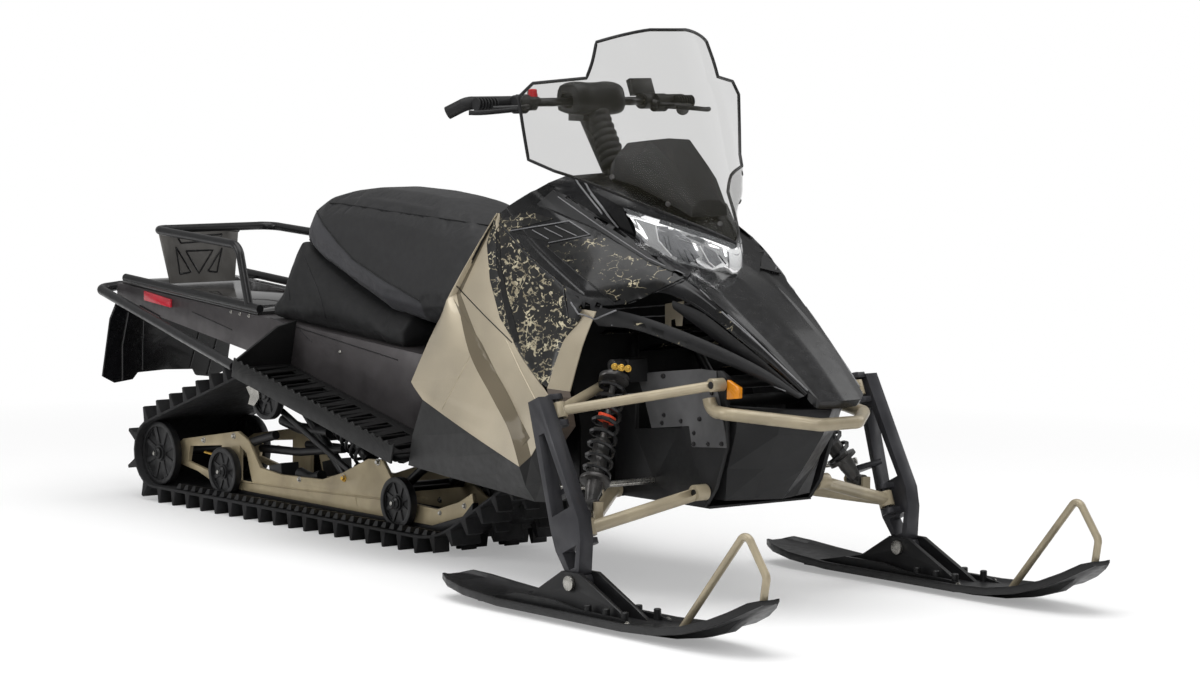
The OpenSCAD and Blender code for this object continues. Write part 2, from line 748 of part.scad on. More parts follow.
module cowl() {
    color(BLACK)
        panel([
            across([ridge[0], [474, -168, 1040], [500, -100, 1046], [515, -50, 1049], [530, 0, 1050]]),
            across([mix(ridge[0], ridge[1], 0.5), [600, -178, 1010], [660, -100, 1018], [690, -50, 1016],
                [720, 0, 1010]]),
            across([ridge[1], lamp_top[0], lamp_top[1], lamp_top[2], lamp_top[3]])]);
}

module console() {
    color(BLACK)
        difference() {
            panel([
                across([[110, -160, 850], [110, -80, 880], [110, 0, 890]]),
                across([[240, -225, 905], [240, -110, 950], [240, 0, 960]]),
                across([shoulder_low[0], [372, -140, 990], [380, 0, 1000]]),
                across([ridge[0] - [0.6, 0, 0.6], [499.4, -100, 1045.4], [529.4, 0, 1049.4]])]);
            rod(post_top - 400 * post_axis, post_top, post_dia / 2 + 14);
        }
}

module instrument_pod() {
    rows = [[560, 1044.2, 90, 1090], [600, 1036.4, 110, 1128],
        [690, 1023, 110, 1138], [780, 987, 86, 1076],
        [850, 950, 60, 990]];
    color(BLACK)
        loft([for (s = rows)
            let (x = s[0], a = s[1], w = s[2], b = s[3])
                [[x, 0, a], [x, -w, a], [x, -w * 0.95, mix(a, b, 0.6)], [x, -w * 0.6, b], [x, 0, b + 4],
                    [x, w * 0.6, b], [x, w * 0.95, mix(a, b, 0.6)], [x, w, a]]]);
}

// Screen rows: z at the middle, z at the edge, half width, sharpness of the bow
screen_rows = [[screen_top, screen_top - 35, 192, 0], [1345, 1335, 210, 0], [1296, 1296, 226, 0.05],
    [1285, 1284, 321, 0.05], [1215, 1244, 361, 0.1], [1120, 1160, 366, 0.2], [1010, 1085, 354, 0.36],
    [950, 1035, 318, 0.62], [890, 995, 236, 1]];
function screen_drop(h, v) = mix(h < 200 ? 0.0026 * h * h : 104 + 0.95 * (h - 200),
    sqrt(1.56 * h * h + 1600) - 40, v);
function screen_point(s, f) = let (h = s[2] * f, z = mix(s[0], s[1], mix(f * f, abs(f), s[3])))
    [lamp_top[3][0] + screen_t + 0.5 - 0.5 * (z - 890) - screen_drop(abs(h), s[3]), h, z];
module windshield() {
    outer = [for (s = screen_rows) [for (k = [-6:6]) screen_point(s, k / 6)]];
    color(CLEAR)
        sheet(outer, [for (r = outer) [for (p = r) p - [screen_t, 0, 0]]]);
}

module engine() {
    color(DARK)
        translate([tunnel_front + 30, -160, 246.6 + seat_gap])
            cube([200, 320, 380]);
}

plate_y = 165;
plate_t = 12;
upper_in = [[1120, plate_y + 30, 560], [700, plate_y + 30, 535]];
lower_in = [[1060, plate_y + 30, 290], [720, plate_y + 30, 262]];
shock_top = [800, 255, 584];
shock_leg = mix(lower_joint, lower_in[1], 0.17);
shock_low = shock_leg + [-8, 0, lower_tube / 2 + 23];
shock_pin = 8;
module bulkhead() {
    outline = [[700, 247], [700, 548], [769, 560], [1104, 592],
        [1130, 580], [1130, 407], [1090, 300], [1050, 250]];
    color(DARK) {
        both() {
            difference() {
                plate(outline, plate_y, plate_t);
                plate([[780, 420], [960, 440], [960, 520], [780, 505]], 0, 400);
                bar(link_pin[0], link_pin[2], link_dia / 2 + 0.4, 0, 400);
            }
            for (p = concat(upper_in, lower_in))
                bar(p[0], p[2], 9, plate_y + plate_t - 1, 44);
            plate([[shock_top[0] - 30, shock_top[2] - 40], [shock_top[0] + 30, shock_top[2] - 40],
                [shock_top[0] + 24, shock_top[2] + 16], [shock_top[0] - 24, shock_top[2] + 16]],
                plate_y + plate_t - 1, 60);
            bar(shock_top[0], shock_top[2], 8, plate_y + plate_t + 50, 45);
        }
        translate([700, -plate_y - 1, 247])
            cube([360, 2 * plate_y + 2, 6]);
        translate([700, -plate_y - 1, 247])
            cube([6, 2 * plate_y + 2, 280]);
        bar(1000, 500, 16, -plate_y - 1, 2 * plate_y + 2);
        bar(1085, 560, 16, -plate_y - 1, 2 * plate_y + 2);
    }
}

module arm_set(outer, inner, tube, lift) {
    sleeve = tube / 2 + 4;
    difference() {
        union() {
            translate(outer)
                rotate([0, -caster, 0])
                    cylinder(h = eye_h, r = eye_r, center = true);
            for (p = inner) {
                rod(outer, p, tube / 2);
                bar(p[0], p[2], sleeve, plate_y + plate_t + 4, 38);
            }
        }
        translate(outer)
            rotate([0, -caster, 0])
                cylinder(h = 2 * eye_h, r = pin_r + 0.5, center = true);
        for (p = inner)
            bar(p[0], p[2], 9 + seat_gap, 0, 400);
    }
}

module upper_arms() {
    color(TAN)
        both()
            arm_set(upper_joint, upper_in, upper_tube, 0);
}

module lower_arms() {
    color(TAN)
        both() {
            arm_set(lower_joint, lower_in, lower_tube, 0);
            for (e = [-36, 26])
                translate([shock_low[0] + e, shock_low[1] - 12, shock_leg[2] - 4])
                    cube([10, 24, shock_low[2] - shock_leg[2] + 16]);
            translate([shock_low[0] - 30, shock_low[1], shock_low[2]])
                rotate([0, 90, 0])
                    cylinder(h = 60, r = shock_pin);
        }
}

shock_dir = unit(shock_top - shock_low);
shock_len = norm(shock_top - shock_low);
module ski_shocks() {
    color(STEEL)
        both()
            difference() {
                union() {
                    along(shock_low, shock_top) {
                        cylinder(h = 46, r1 = 13, r2 = 21);
                        translate([0, 0, 46])
                            cylinder(h = 134, r = 21);
                        translate([0, 0, 160])
                            cylinder(h = shock_len - 160, r = 8);
                        translate([0, 0, spring_seat - 10])
                            cylinder(h = 10, r = spring_dia / 2);
                        translate([0, 0, shock_len - 44])
                            cylinder(h = 12, r = spring_dia / 2);
                    }
                    bar(shock_top[0], shock_top[2], 17, shock_top[1] - 16, 32);
                    translate(shock_low)
                        rotate([0, 90, 0])
                            cylinder(h = 48, r = 17, center = true);
                }
                bar(shock_top[0], shock_top[2], 8 + seat_gap, 0, 600);
                translate(shock_low)
                    rotate([0, 90, 0])
                        cylinder(h = 200, r = shock_pin + seat_gap, center = true);
            }
}

module shock_springs() {
    color(BLACK)
        both()
            along(shock_low, shock_top)
                translate([0, 0, spring_seat + seat_gap])
                    spring(shock_len - 44 - spring_seat - 2 * seat_gap,
                        spring_dia / 2 - spring_wire / 2, spring_wire / 2, 8);
}

module front_bumper() {
    r = nose_tube / 2;
    y = plate_y + plate_t + r + seat_gap + 0.25;
    color(TAN)
        bent([[1084, y, 524], [1092, y, 494], [1150, y, 491], [1268, 150, 486], [1346, 60, 474],
            [1346, -60, 474], [1268, -150, 486], [1150, -y, 491], [1092, -y, 494], [1084, -y, 524]], r, 34);
}

module nose_pan() {
    rows = [[505, 164.4, 1150, 96, 1250, 1318], [440, 164.4, 1140, 94, 1225, 1286],
        [350, 160, 1105, 84, 1165, 1215], [268, 148, 1085, 70, 1112, 1140]];
    color(BLACK)
        panel([for (s = rows)
            across([[s[2] - 80, -s[1], s[0]], [s[2], -s[1] + 10, s[0]],
                [s[4], -s[3], s[0]], [s[5], 0, s[0]]])]);
}

module marker_lamps() {
    color(AMBER)
        both()
            plate([[1130 + seat_gap, 524], [1176, 530], [1176, 556], [1130 + seat_gap, 572]],
                plate_y, plate_t);
}

module steering_support() {
    foot = post_top - post_drop * post_axis;
    color(DARK) {
        difference() {
            rod(foot - 20 * post_axis, foot + 20 * post_axis, post_dia / 2 + 12);
            rod(foot - 19.2 * post_axis, foot + 60 * post_axis, post_dia / 2 + 0.4);
        }
        rod(foot - 46 * post_axis, foot - 19.4 * post_axis, post_dia / 2 + 14);
        both() {
            rod([712.5, 125, 533.8], foot - 32 * post_axis, 13);
            rod([140, 120, deck_z(140) + 8.6], foot - 32 * post_axis, 13);
        }
    }
}

module handlebar() {
    r = bar_dia / 2;
    color(BLACK) {
        rod(post_top - (post_drop + 18.5) * post_axis, post_top + 30 * post_axis, post_dia / 2);
        bent([mirrored(bar_end), mirrored(bar_bend), bar_bend, bar_end], r, 60);
        translate([332, -45, bar_z - 46])
            cube([62, 90, 60]);
    }
}

module grips() {
    r = grip_dia / 2;
    color(BLACK)
        both()
            difference() {
                bent([mix(bar_bend, bar_end, 0.46), bar_end, [272, bar_y - 4, bar_z - 24]], r, 36);
                rod(bar_bend, bar_end, bar_dia / 2 + seat_gap);
            }
}

// Throttle and brake blocks with their levers, the stop switch and the display
module bar_controls() {
    r = bar_dia / 2 + seat_gap;
    color(BLACK)
        difference() {
            union() {
                both() {
                    rod(mix(bar_bend, bar_end, 0.2), mix(bar_bend, bar_end, 0.42), 21);
                    bent([mix(bar_bend, bar_end, 0.36) + [30, 0, -8],
                        mix(bar_bend, bar_end, 0.5) + [62, 0, -10],
                        mix(bar_bend, bar_end, 0.86) + [58, 0, -12]], 6, 20);
                    rod(mix(bar_bend, bar_end, 0.33), mix(bar_bend, bar_end, 0.36) + [36, 0, -9], 11);
                }
                translate([352, -bar_bend[1] - 52, bar_z + 18])
                    cylinder(h = 18, r = 11);
                translate([340, bar_bend[1] + 24, bar_z + 16])
                    rotate([0, -24, 0])
                        cube([16, 74, 44]);
            }
            both()
                rod(bar_bend, bar_end, r);
        }
}

module bar_pad() {
    color(BLACK)
        translate([326, -74, bar_z + 15.2 + seat_gap])
            cube([76, 148, 30]);
}

module steering_link() {
    color(STEEL) {
        bar(link_pin[0], link_pin[2], link_dia / 2, -link_pin[1] + 16, 2 * link_pin[1] - 32);
        both()
            translate(link_pin)
                rotate([0, -caster, 0])
                    cylinder(h = 16, r = 17, center = true);
    }
}

// Spindle outline about the lower joint: ahead of the axis, up the axis
spindle_outline = [[-35, -112], [-58, -34], [-58, 14], [-25, 334], [19, 334], [50, 62], [56, 14], [46, -36],
    [8, -112]];
spindle_y = axis_inset;
module spindle() {
    near = spindle_y - spindle_t / 2;
    translate(lower_joint)
        rotate([0, -caster, 0]) {
            difference() {
                union() {
                    plate(spindle_outline, near, spindle_t);
                    bar(-15, -126, 24, near, spindle_t);
                }
                plate([[-40, 46], [36, 50], [8, 246], [-16, 246]], near - 1, spindle_t + 2);
                plate([[-34, -46], [26, -44], [-2, -92], [-24, -92]], near - 1, spindle_t + 2);
                bar(-15, -126, 10 + seat_gap, near - 1, spindle_t + 2);
            }
            for (s = [0, joint_rise]) {
                translate([0, 0, s - 40])
                    cylinder(h = 80, r = pin_r);
                for (e = [-40, 26])
                    translate([0, 0, s + e]) {
                        cylinder(h = 14, r = 18);
                        translate([-16, 0, 0])
                            cube([32, near + 1, 14]);
                    }
            }
            translate([0, 0, arm_rise - 7])
                linear_extrude(14)
                    polygon([[-48, near + 1], [-8, near + 1], [-58, -12], [-steer_arm - 12, -12],
                        [-steer_arm - 12, 10]]);
        }
}
module spindle_right() {
    color(DARK)
        mirror([0, 1, 0])
            spindle();
}
module spindle_left() {
    color(DARK)
        spindle();
}

// Ski sections: part of the length from the heel, floor height, half width share
ski_rows = [[0, 28, 0.36], [0.012, 26, 0.55], [0.05, 19, 0.8], [0.12, 9, 0.96], [0.24, 0, 1],
    [0.64, 0, 1], [0.74, 6, 1], [0.82, 21, 0.97], [0.89, 45, 0.88], [0.94, 70, 0.74], [0.98, 96, 0.52],
    [1, 110, 0.34]];
ski_pivot = lower_joint - 15 * fore_axis - 126 * up_axis + [0, axis_inset, 0];
function ski_x(f) = half_length - ski_length * (1 - f);
function ski_ring(s) = let (x = ski_x(s[0]), z = s[1] + keel_depth, w = ski_width / 2 * s[2],
        k = keel_depth * (s[0] < 0.04 || s[0] > 0.9 ? 0.2 : 1),
        e = s[0] == 0 || s[0] == 1 ? 9 : ski_edge, y = ski_stance / 2)
    [[x, y - 14, z - k], [x, y - 20, z - 2], [x, y - w + 4, z - 4], [x, y - w, z + 2], [x, y - w, z + e],
        [x, y - w + 8, z + e], [x, y - w + 16, z + 8], [x, y + w - 16, z + 8], [x, y + w - 8, z + e],
        [x, y + w, z + e], [x, y + w, z + 2], [x, y + w - 4, z - 4], [x, y + 20, z - 2], [x, y + 14, z - k]];
// Reach of the saddle behind and ahead of the ski pin
saddle_back = 198.4245;
saddle_front = 233.5755;
module ski() {
    y = ski_stance / 2;
    wall = spindle_t / 2 + 1;
    top = keel_depth + 8;
    loft([for (s = ski_rows) ski_ring(s)]);
    for (s = [-1, 1])
        difference() {
            translate([0, s > 0 ? 0 : -12, 0])
                plate([[ski_pivot[0] - saddle_back, top - 3], [ski_pivot[0] + saddle_front, top - 3],
                    [ski_pivot[0] + saddle_front - 48, top + 22],
                    [ski_pivot[0] + 34, ski_pivot[2] + 26], [ski_pivot[0] - 34, ski_pivot[2] + 26],
                    [ski_pivot[0] - saddle_back + 48, top + 26]], y + s * wall, 12);
            bar(ski_pivot[0], ski_pivot[2], 10 + seat_gap, 0, 1000);
        }
}
module ski_right() {
    color(BLACK)
        mirror([0, 1, 0])
            ski();
}
module ski_left() {
    color(BLACK)
        ski();
}

module ski_bolt() {
    y = ski_stance / 2;
    bar(ski_pivot[0], ski_pivot[2], 10, y - 38, 76);
    for (s = [-1, 1])
        bar(ski_pivot[0], ski_pivot[2], 18, y + s * 37.5 - 4, 8);
}
module ski_bolts_right() {
    color(STEEL)
        mirror([0, 1, 0])
            ski_bolt();
}
module ski_bolts_left() {
    color(STEEL)
        ski_bolt();
}

module ski_loop() {
    y = ski_stance / 2;
    r = loop_dia / 2;
    bent([[half_length - 308, y, keel_depth + 12], [half_length - 84, y, loop_top + 4],
        [half_length - r - 1, y, loop_top - 92], [half_length - 22, y, keel_depth + 104]], r, 22);
}
module ski_loop_right() {
    color(TAN)
        mirror([0, 1, 0])
            ski_loop();
}
module ski_loop_left() {
    color(TAN)
        ski_loop();
}

tunnel();
running_boards();
rear_bumper();
snow_flap();
rack_deck();
rack_rails();
rack_board();
tail_lamps();
seat_cushion();
seat_base();
track();
skid_rails();
skid_slides();
rear_idlers();
bogie_wheels();
carrier_wheels();
skid_arms();
skid_shocks();
drive_axle();
engine();
bulkhead();
belly_pan();
side_panels();
side_inserts();
shoulder_panels();
side_blades();
nose();
nose_pan();
headlamp();
cowl();
console();
instrument_pod();
windshield();
front_bumper();
marker_lamps();
upper_arms();
lower_arms();
ski_shocks();
shock_springs();
steering_support();
handlebar();
grips();
bar_controls();
bar_pad();
steering_link();
spindle_right();
spindle_left();
ski_right();
ski_left();
ski_bolts_right();
ski_bolts_left();
ski_loop_right();
ski_loop_left();
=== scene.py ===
"""Looks of a utility snowmobile: finishes, smooth body skins, soft seat, lamp, trim and small fittings."""

import logging
import math
from dataclasses import dataclass, field
from enum import Enum
from typing import Callable, Iterable, Optional, Sequence

import bmesh
import bpy
from mathutils import Matrix, Vector
from mathutils.bvhtree import BVHTree


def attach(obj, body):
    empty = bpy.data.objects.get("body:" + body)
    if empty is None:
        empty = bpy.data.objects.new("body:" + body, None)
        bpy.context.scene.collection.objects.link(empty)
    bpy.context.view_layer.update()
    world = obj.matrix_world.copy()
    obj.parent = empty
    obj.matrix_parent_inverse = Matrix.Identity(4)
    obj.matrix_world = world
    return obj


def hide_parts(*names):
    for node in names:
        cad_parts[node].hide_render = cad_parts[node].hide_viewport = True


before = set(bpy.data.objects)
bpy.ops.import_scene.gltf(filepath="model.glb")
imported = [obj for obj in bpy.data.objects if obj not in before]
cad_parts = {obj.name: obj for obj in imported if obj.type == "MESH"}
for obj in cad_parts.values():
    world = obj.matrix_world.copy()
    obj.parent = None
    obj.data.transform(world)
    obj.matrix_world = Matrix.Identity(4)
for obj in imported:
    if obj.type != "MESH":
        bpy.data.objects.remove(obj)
LOG = logging.getLogger("snowmobile")

Point = tuple[float, float, float]
Pixel = tuple[float, float]
Colour = tuple[int, int, int]
MM = 0.001


class Body(Enum):
    """The bodies that pieces ride on."""

    CHASSIS = "chassis"
    BAR = "handlebar_assembly"
    RIGHT = "right_ski_assembly"
    LEFT = "left_ski_assembly"


def linear(colour: Colour) -> tuple[float, float, float, float]:
    """Turns a screen colour into scene-linear values.

    Args:
        colour: red, green and blue from 0 to 255.

    Returns:
        Linear red, green, blue and alpha.
    """
    parts = [c / 255 for c in colour]
    return tuple(p / 12.92 if p <= 0.04045 else ((p + 0.055) / 1.055) ** 2.4 for p in parts) + (1.0,)


def mix(a: Sequence[float], b: Sequence[float], f: float) -> Vector:
    """Returns the point a share f of the way from a to b."""
    return Vector(a).lerp(Vector(b), f)


def metres(p: Sequence[float]) -> Vector:
    """Returns a millimetre point in metres."""
    return Vector(p) * MM


def smooth_line(points: Sequence[Sequence[float]], steps: int, corners: Iterable[int] = ()) -> list[Vector]:
    """Runs a smooth curve through points, with a sharp turn at some of them.

    Args:
        points: the points to pass through.
        steps: pieces between two neighbours.
        corners: indexes where the curve turns sharply.

    Returns:
        The points of the curve, the first and last included.
    """
    pts = [Vector(p) for p in points]
    sharp = set(corners)
    out = []
    for i in range(len(pts) - 1):
        a, b = pts[i], pts[i + 1]
        before = pts[i - 1] if i > 0 and i not in sharp else a
        after = pts[i + 2] if i + 2 < len(pts) and i + 1 not in sharp else b
        for s in range(steps):
            t = s / steps
            out.append(0.5 * (2 * a + (b - before) * t + (2 * before - 5 * a + 4 * b - after) * t ** 2
                              + (3 * a - before - 3 * b + after) * t ** 3))
    return out + [pts[-1]]


def smooth_grid(rows: Sequence[Sequence[Point]], along: int, across: int,
                row_corners: Iterable[int] = (), column_corners: Iterable[int] = ()) -> list[list[Vector]]:
    """Refines a grid of points both ways.

    Args:
        rows: the rows of points.
        along: pieces between two points of a row.
        across: pieces between two rows.
        row_corners: rows where the surface folds.
        column_corners: columns where the surface folds.

    Returns:
        The finer grid.
    """
    wide = [smooth_line(r, along, column_corners) for r in rows]
    columns = [smooth_line([r[j] for r in wide], across, row_corners) for j in range(len(wide[0]))]
    return [[c[i] for c in columns] for i in range(len(columns[0]))]


def whole(row: Sequence[Point]) -> list[Point]:
    """Returns a half row, edge to middle, with its mirror image added."""
    return list(row) + [(p[0], -p[1], p[2]) for p in list(row)[-2::-1]]


class Graph:
    """The node tree of one material, with short calls for its nodes."""

    def __init__(self, name: str) -> None:
        """Starts a material with a Principled shader.

        Args:
            name: the material's name.
        """
        self.material = bpy.data.materials.new(name)
        self.material.use_nodes = True
        self.tree = self.material.node_tree
        self.shader = self.tree.nodes["Principled BSDF"]
        self.place = self.add("ShaderNodeTexCoord").outputs["Object"]

    def add(self, kind: str, inputs: Optional[dict] = None, **settings: object) -> bpy.types.Node:
        """Adds a node.

        Args:
            kind: the node's type.
            inputs: socket values, or output sockets to link.
            settings: properties of the node.

        Returns:
            The node.
        """
        node = self.tree.nodes.new(kind)
        for key, value in settings.items():
            setattr(node, key, value)
        for key, value in (inputs or {}).items():
            if isinstance(value, bpy.types.NodeSocket):
                self.tree.links.new(value, node.inputs[key])
            else:
                node.inputs[key].default_value = value
        return node

    def link(self, out: bpy.types.NodeSocket, socket: str) -> None:
        """Links an output to a socket of the shader."""
        self.tree.links.new(out, self.shader.inputs[socket])

    def noise(self, scale: float, detail: float = 3, warp: float = 0,
              place: Optional[bpy.types.NodeSocket] = None) -> bpy.types.NodeSocket:
        """Returns the value of a noise texture.

        Args:
            scale: patches per metre.
            detail: finer layers.
            warp: how far it is distorted.
            place: other coordinates than the object's.

        Returns:
            The noise value.
        """
        node = self.add("ShaderNodeTexNoise", {"Vector": place or self.place, "Scale": scale, "Detail": detail,
                                               "Distortion": warp})
        return node.outputs["Fac"]

    def cells(self, scale: float, feature: str = "F1",
              place: Optional[bpy.types.NodeSocket] = None) -> bpy.types.NodeSocket:
        """Returns the distance value of a cell texture.

        Args:
            scale: cells per metre.
            feature: which distance is taken.
            place: other coordinates than the object's.

        Returns:
            The distance.
        """
        node = self.add("ShaderNodeTexVoronoi", {"Vector": place or self.place, "Scale": scale}, feature=feature)
        return node.outputs["Distance"]

    def ramp(self, value: bpy.types.NodeSocket, *stops: tuple[float, Colour]) -> bpy.types.NodeSocket:
        """Colours a value.

        Args:
            value: the value from 0 to 1.
            stops: places and colours.

        Returns:
            The colour.
        """
        node = self.add("ShaderNodeValToRGB", {"Fac": value})
        while len(node.color_ramp.elements) < len(stops):
            node.color_ramp.elements.new(0.5)
        for element, (at, colour) in zip(node.color_ramp.elements, stops):
            element.position = at
            element.color = linear(colour)
        return node.outputs["Color"]

    def span(self, value: bpy.types.NodeSocket, low: float, high: float, start: float = 0.3,
             end: float = 0.7) -> bpy.types.NodeSocket:
        """Maps a value from start..end to low..high.

        Args:
            value: the value.
            low: result at the start.
            high: result at the end.
            start: where the range begins.
            end: where the range ends.

        Returns:
            The mapped value.
        """
        node = self.add("ShaderNodeMapRange", {"Value": value, "From Min": start, "From Max": end, "To Min": low,
                                               "To Max": high})
        return node.outputs["Result"]

    def blend(self, share: bpy.types.NodeSocket, a: object, b: object) -> bpy.types.NodeSocket:
        """Mixes two colours.

        Args:
            share: share of the second colour.
            a: first colour or socket.
            b: second colour or socket.

        Returns:
            The mixed colour.
        """
        node = self.add("ShaderNodeMix", data_type="RGBA")
        self.tree.links.new(share, node.inputs[0])
        for socket, value in ((node.inputs[6], a), (node.inputs[7], b)):
            if isinstance(value, bpy.types.NodeSocket):
                self.tree.links.new(value, socket)
            else:
                socket.default_value = linear(value)
        return node.outputs[2]

    def bump(self, height: bpy.types.NodeSocket, strength: float, depth: float) -> None:
        """Raises the surface by a height value.

        Args:
            height: the height value.
            strength: how strongly it shows.
            depth: full height in metres.
        """
        node = self.add("ShaderNodeBump", {"Height": height, "Strength": strength, "Distance": depth})
        self.link(node.outputs["Normal"], "Normal")

    def set(self, **sockets: object) -> None:
        """Sets constants on the shader's sockets, with _ for a space."""
        for key, value in sockets.items():
            self.shader.inputs[key.replace("_", " ")].default_value = value


@dataclass(frozen=True)
class Finish:
    """A moulded or painted surface with grain, a little colour change and uneven gloss."""

    name: str
    colour: Colour
    slot: str
    rough: float = 0.45
    spread: float = 0.08
    metal: float = 0.0
    coat: float = 0.0
    change: float = 0.14
    patch: float = 9.0
    grain: float = 1400.0
    relief: float = 0.08
    depth: float = 0.0002
    shine: float = 0.3

    def dress(self, g: Graph) -> None:
        """Adds colour, gloss and grain to a material.

        Args:
            g: the material's nodes.
        """
        soft = g.noise(self.patch, 4, 0.4)
        dark = tuple(int(c * (1 - self.change)) for c in self.colour)
        pale = tuple(min(255, int(c * (1 + self.change))) for c in self.colour)
        g.link(g.ramp(soft, (0.3, dark), (0.7, pale)), "Base Color")
        g.link(g.span(g.noise(self.patch * 5, 5), self.rough - self.spread, self.rough + self.spread), "Roughness")
        if self.relief:
            g.bump(g.noise(self.grain, 2), self.relief, self.depth)
        g.set(Metallic=self.metal, Coat_Weight=self.coat, Coat_Roughness=0.06, Specular_IOR_Level=self.shine)

    def material(self) -> bpy.types.Material:
        """Returns the finish's material, made on first use."""
        known = bpy.data.materials.get(self.name)
        if known:
            return known
        g = Graph(self.name)
        self.dress(g)
        return g.material


@dataclass(frozen=True)
class FlakePaint(Finish):
    """Metallic paint with fine flakes under a clear coat."""

    def dress(self, g: Graph) -> None:
        """Adds flakes to the colour and gloss."""
        super().dress(g)
        flakes = g.cells(2600)
        base = self.colour
        pale = tuple(min(255, int(c * 1.16)) for c in base)
        dark = tuple(int(c * 0.9) for c in base)
        soft = g.ramp(g.noise(self.patch, 3, 0.3), (0.3, dark), (0.7, base))
        g.link(g.blend(g.span(flakes, 0.55, 0.0, 0.0, 0.4), soft, pale), "Base Color")


@dataclass(frozen=True)
class Camouflage(Finish):
    """Thin broken splinters and blotches of tan on black, of a plain made-up layout."""

    lines: float = 0.06
    blots: float = 0.6

    def dress(self, g: Graph) -> None:
        """Layers splinters and blotches on the ground colour."""
        stretch = g.add("ShaderNodeMapping", {"Vector": g.place, "Rotation": (0.3, 0.9, 0.2),
                                              "Scale": (1.0, 1.0, 1.7)}).outputs["Vector"]
        bent = g.add("ShaderNodeTexNoise", {"Vector": stretch, "Scale": 30.0, "Detail": 4.0})
        warped = g.add("ShaderNodeVectorMath", {0: bent.outputs["Color"], 1: (0.04, 0.04, 0.04), 2: stretch},
                       operation="MULTIPLY_ADD").outputs["Vector"]
        edge = g.cells(27, "DISTANCE_TO_EDGE", warped)
        limit = g.span(g.noise(17, 3, 0.4, stretch), -0.5 * self.lines, self.lines, 0.36, 0.66)
        room = g.add("ShaderNodeMath", {0: limit, 1: edge}, operation="SUBTRACT").outputs[0]
        split = g.span(room, 0, 1, 0.0, 0.012)
        broken = g.span(g.noise(95, 3, 0.9, stretch), 0, 1, 0.42, 0.46)
        both = g.add("ShaderNodeMath", {0: split, 1: broken}, operation="MULTIPLY").outputs[0]
        blot = g.span(g.noise(38, 4, 1.1, stretch), 0, 1, self.blots, self.blots + 0.025)
        ground = g.blend(g.span(g.noise(16, 3, 0.8), 0, 1, 0.54, 0.58), (8, 8, 8), (20, 19, 17))
        pale = g.ramp(g.noise(34, 3), (0.35, (118, 109, 88)), (0.65, (190, 181, 154)))
        g.link(g.blend(blot, g.blend(both, ground, pale), pale), "Base Color")
        g.link(g.span(g.noise(40, 4), self.rough - self.spread, self.rough + self.spread), "Roughness")
        g.bump(g.noise(self.grain, 2), self.relief, self.depth)
        g.set(Coat_Weight=self.coat, Coat_Roughness=0.08, Specular_IOR_Level=self.shine)


@dataclass(frozen=True)
class Vinyl(Finish):
    """Grained seat cover with a soft sheen."""

    def dress(self, g: Graph) -> None:
        """Adds leather grain over the plain finish."""
        super().dress(g)
        height = g.add("ShaderNodeMath", {0: g.cells(620), 1: g.noise(2200, 2)}, operation="ADD").outputs[0]
        g.bump(height, 0.22, 0.0004)
        g.set(Sheen_Weight=0.05, Sheen_Roughness=0.4)


@dataclass(frozen=True)
class Clear(Finish):
    """See-through plastic with faint streaks."""

    alpha: float = 0.2
    gloss: float = 0.5

    def dress(self, g: Graph) -> None:
        """Adds a tint that lets the light through."""
        super().dress(g)
        g.set(Alpha=self.alpha, IOR=1.45, Specular_IOR_Level=self.gloss)
        g.material.surface_render_method = "BLENDED"


@dataclass(frozen=True)
class Lens(Finish):
    """Coloured lens with rows of small prisms and a faint painted glow."""

    def dress(self, g: Graph) -> None:
        """Adds prism rows under a smooth coat, and a faint glow in the lens colour as painted light."""
        super().dress(g)
        wave = g.add("ShaderNodeTexWave", {"Vector": g.place, "Scale": 60.0, "Distortion": 0.0},
                     bands_direction="DIAGONAL").outputs["Fac"]
        g.bump(wave, 0.35, 0.0012)
        # Faint emission in the lens colour: painted glow, with no lamp behind it.
        g.set(Emission_Color=linear(self.colour), Emission_Strength=0.12)


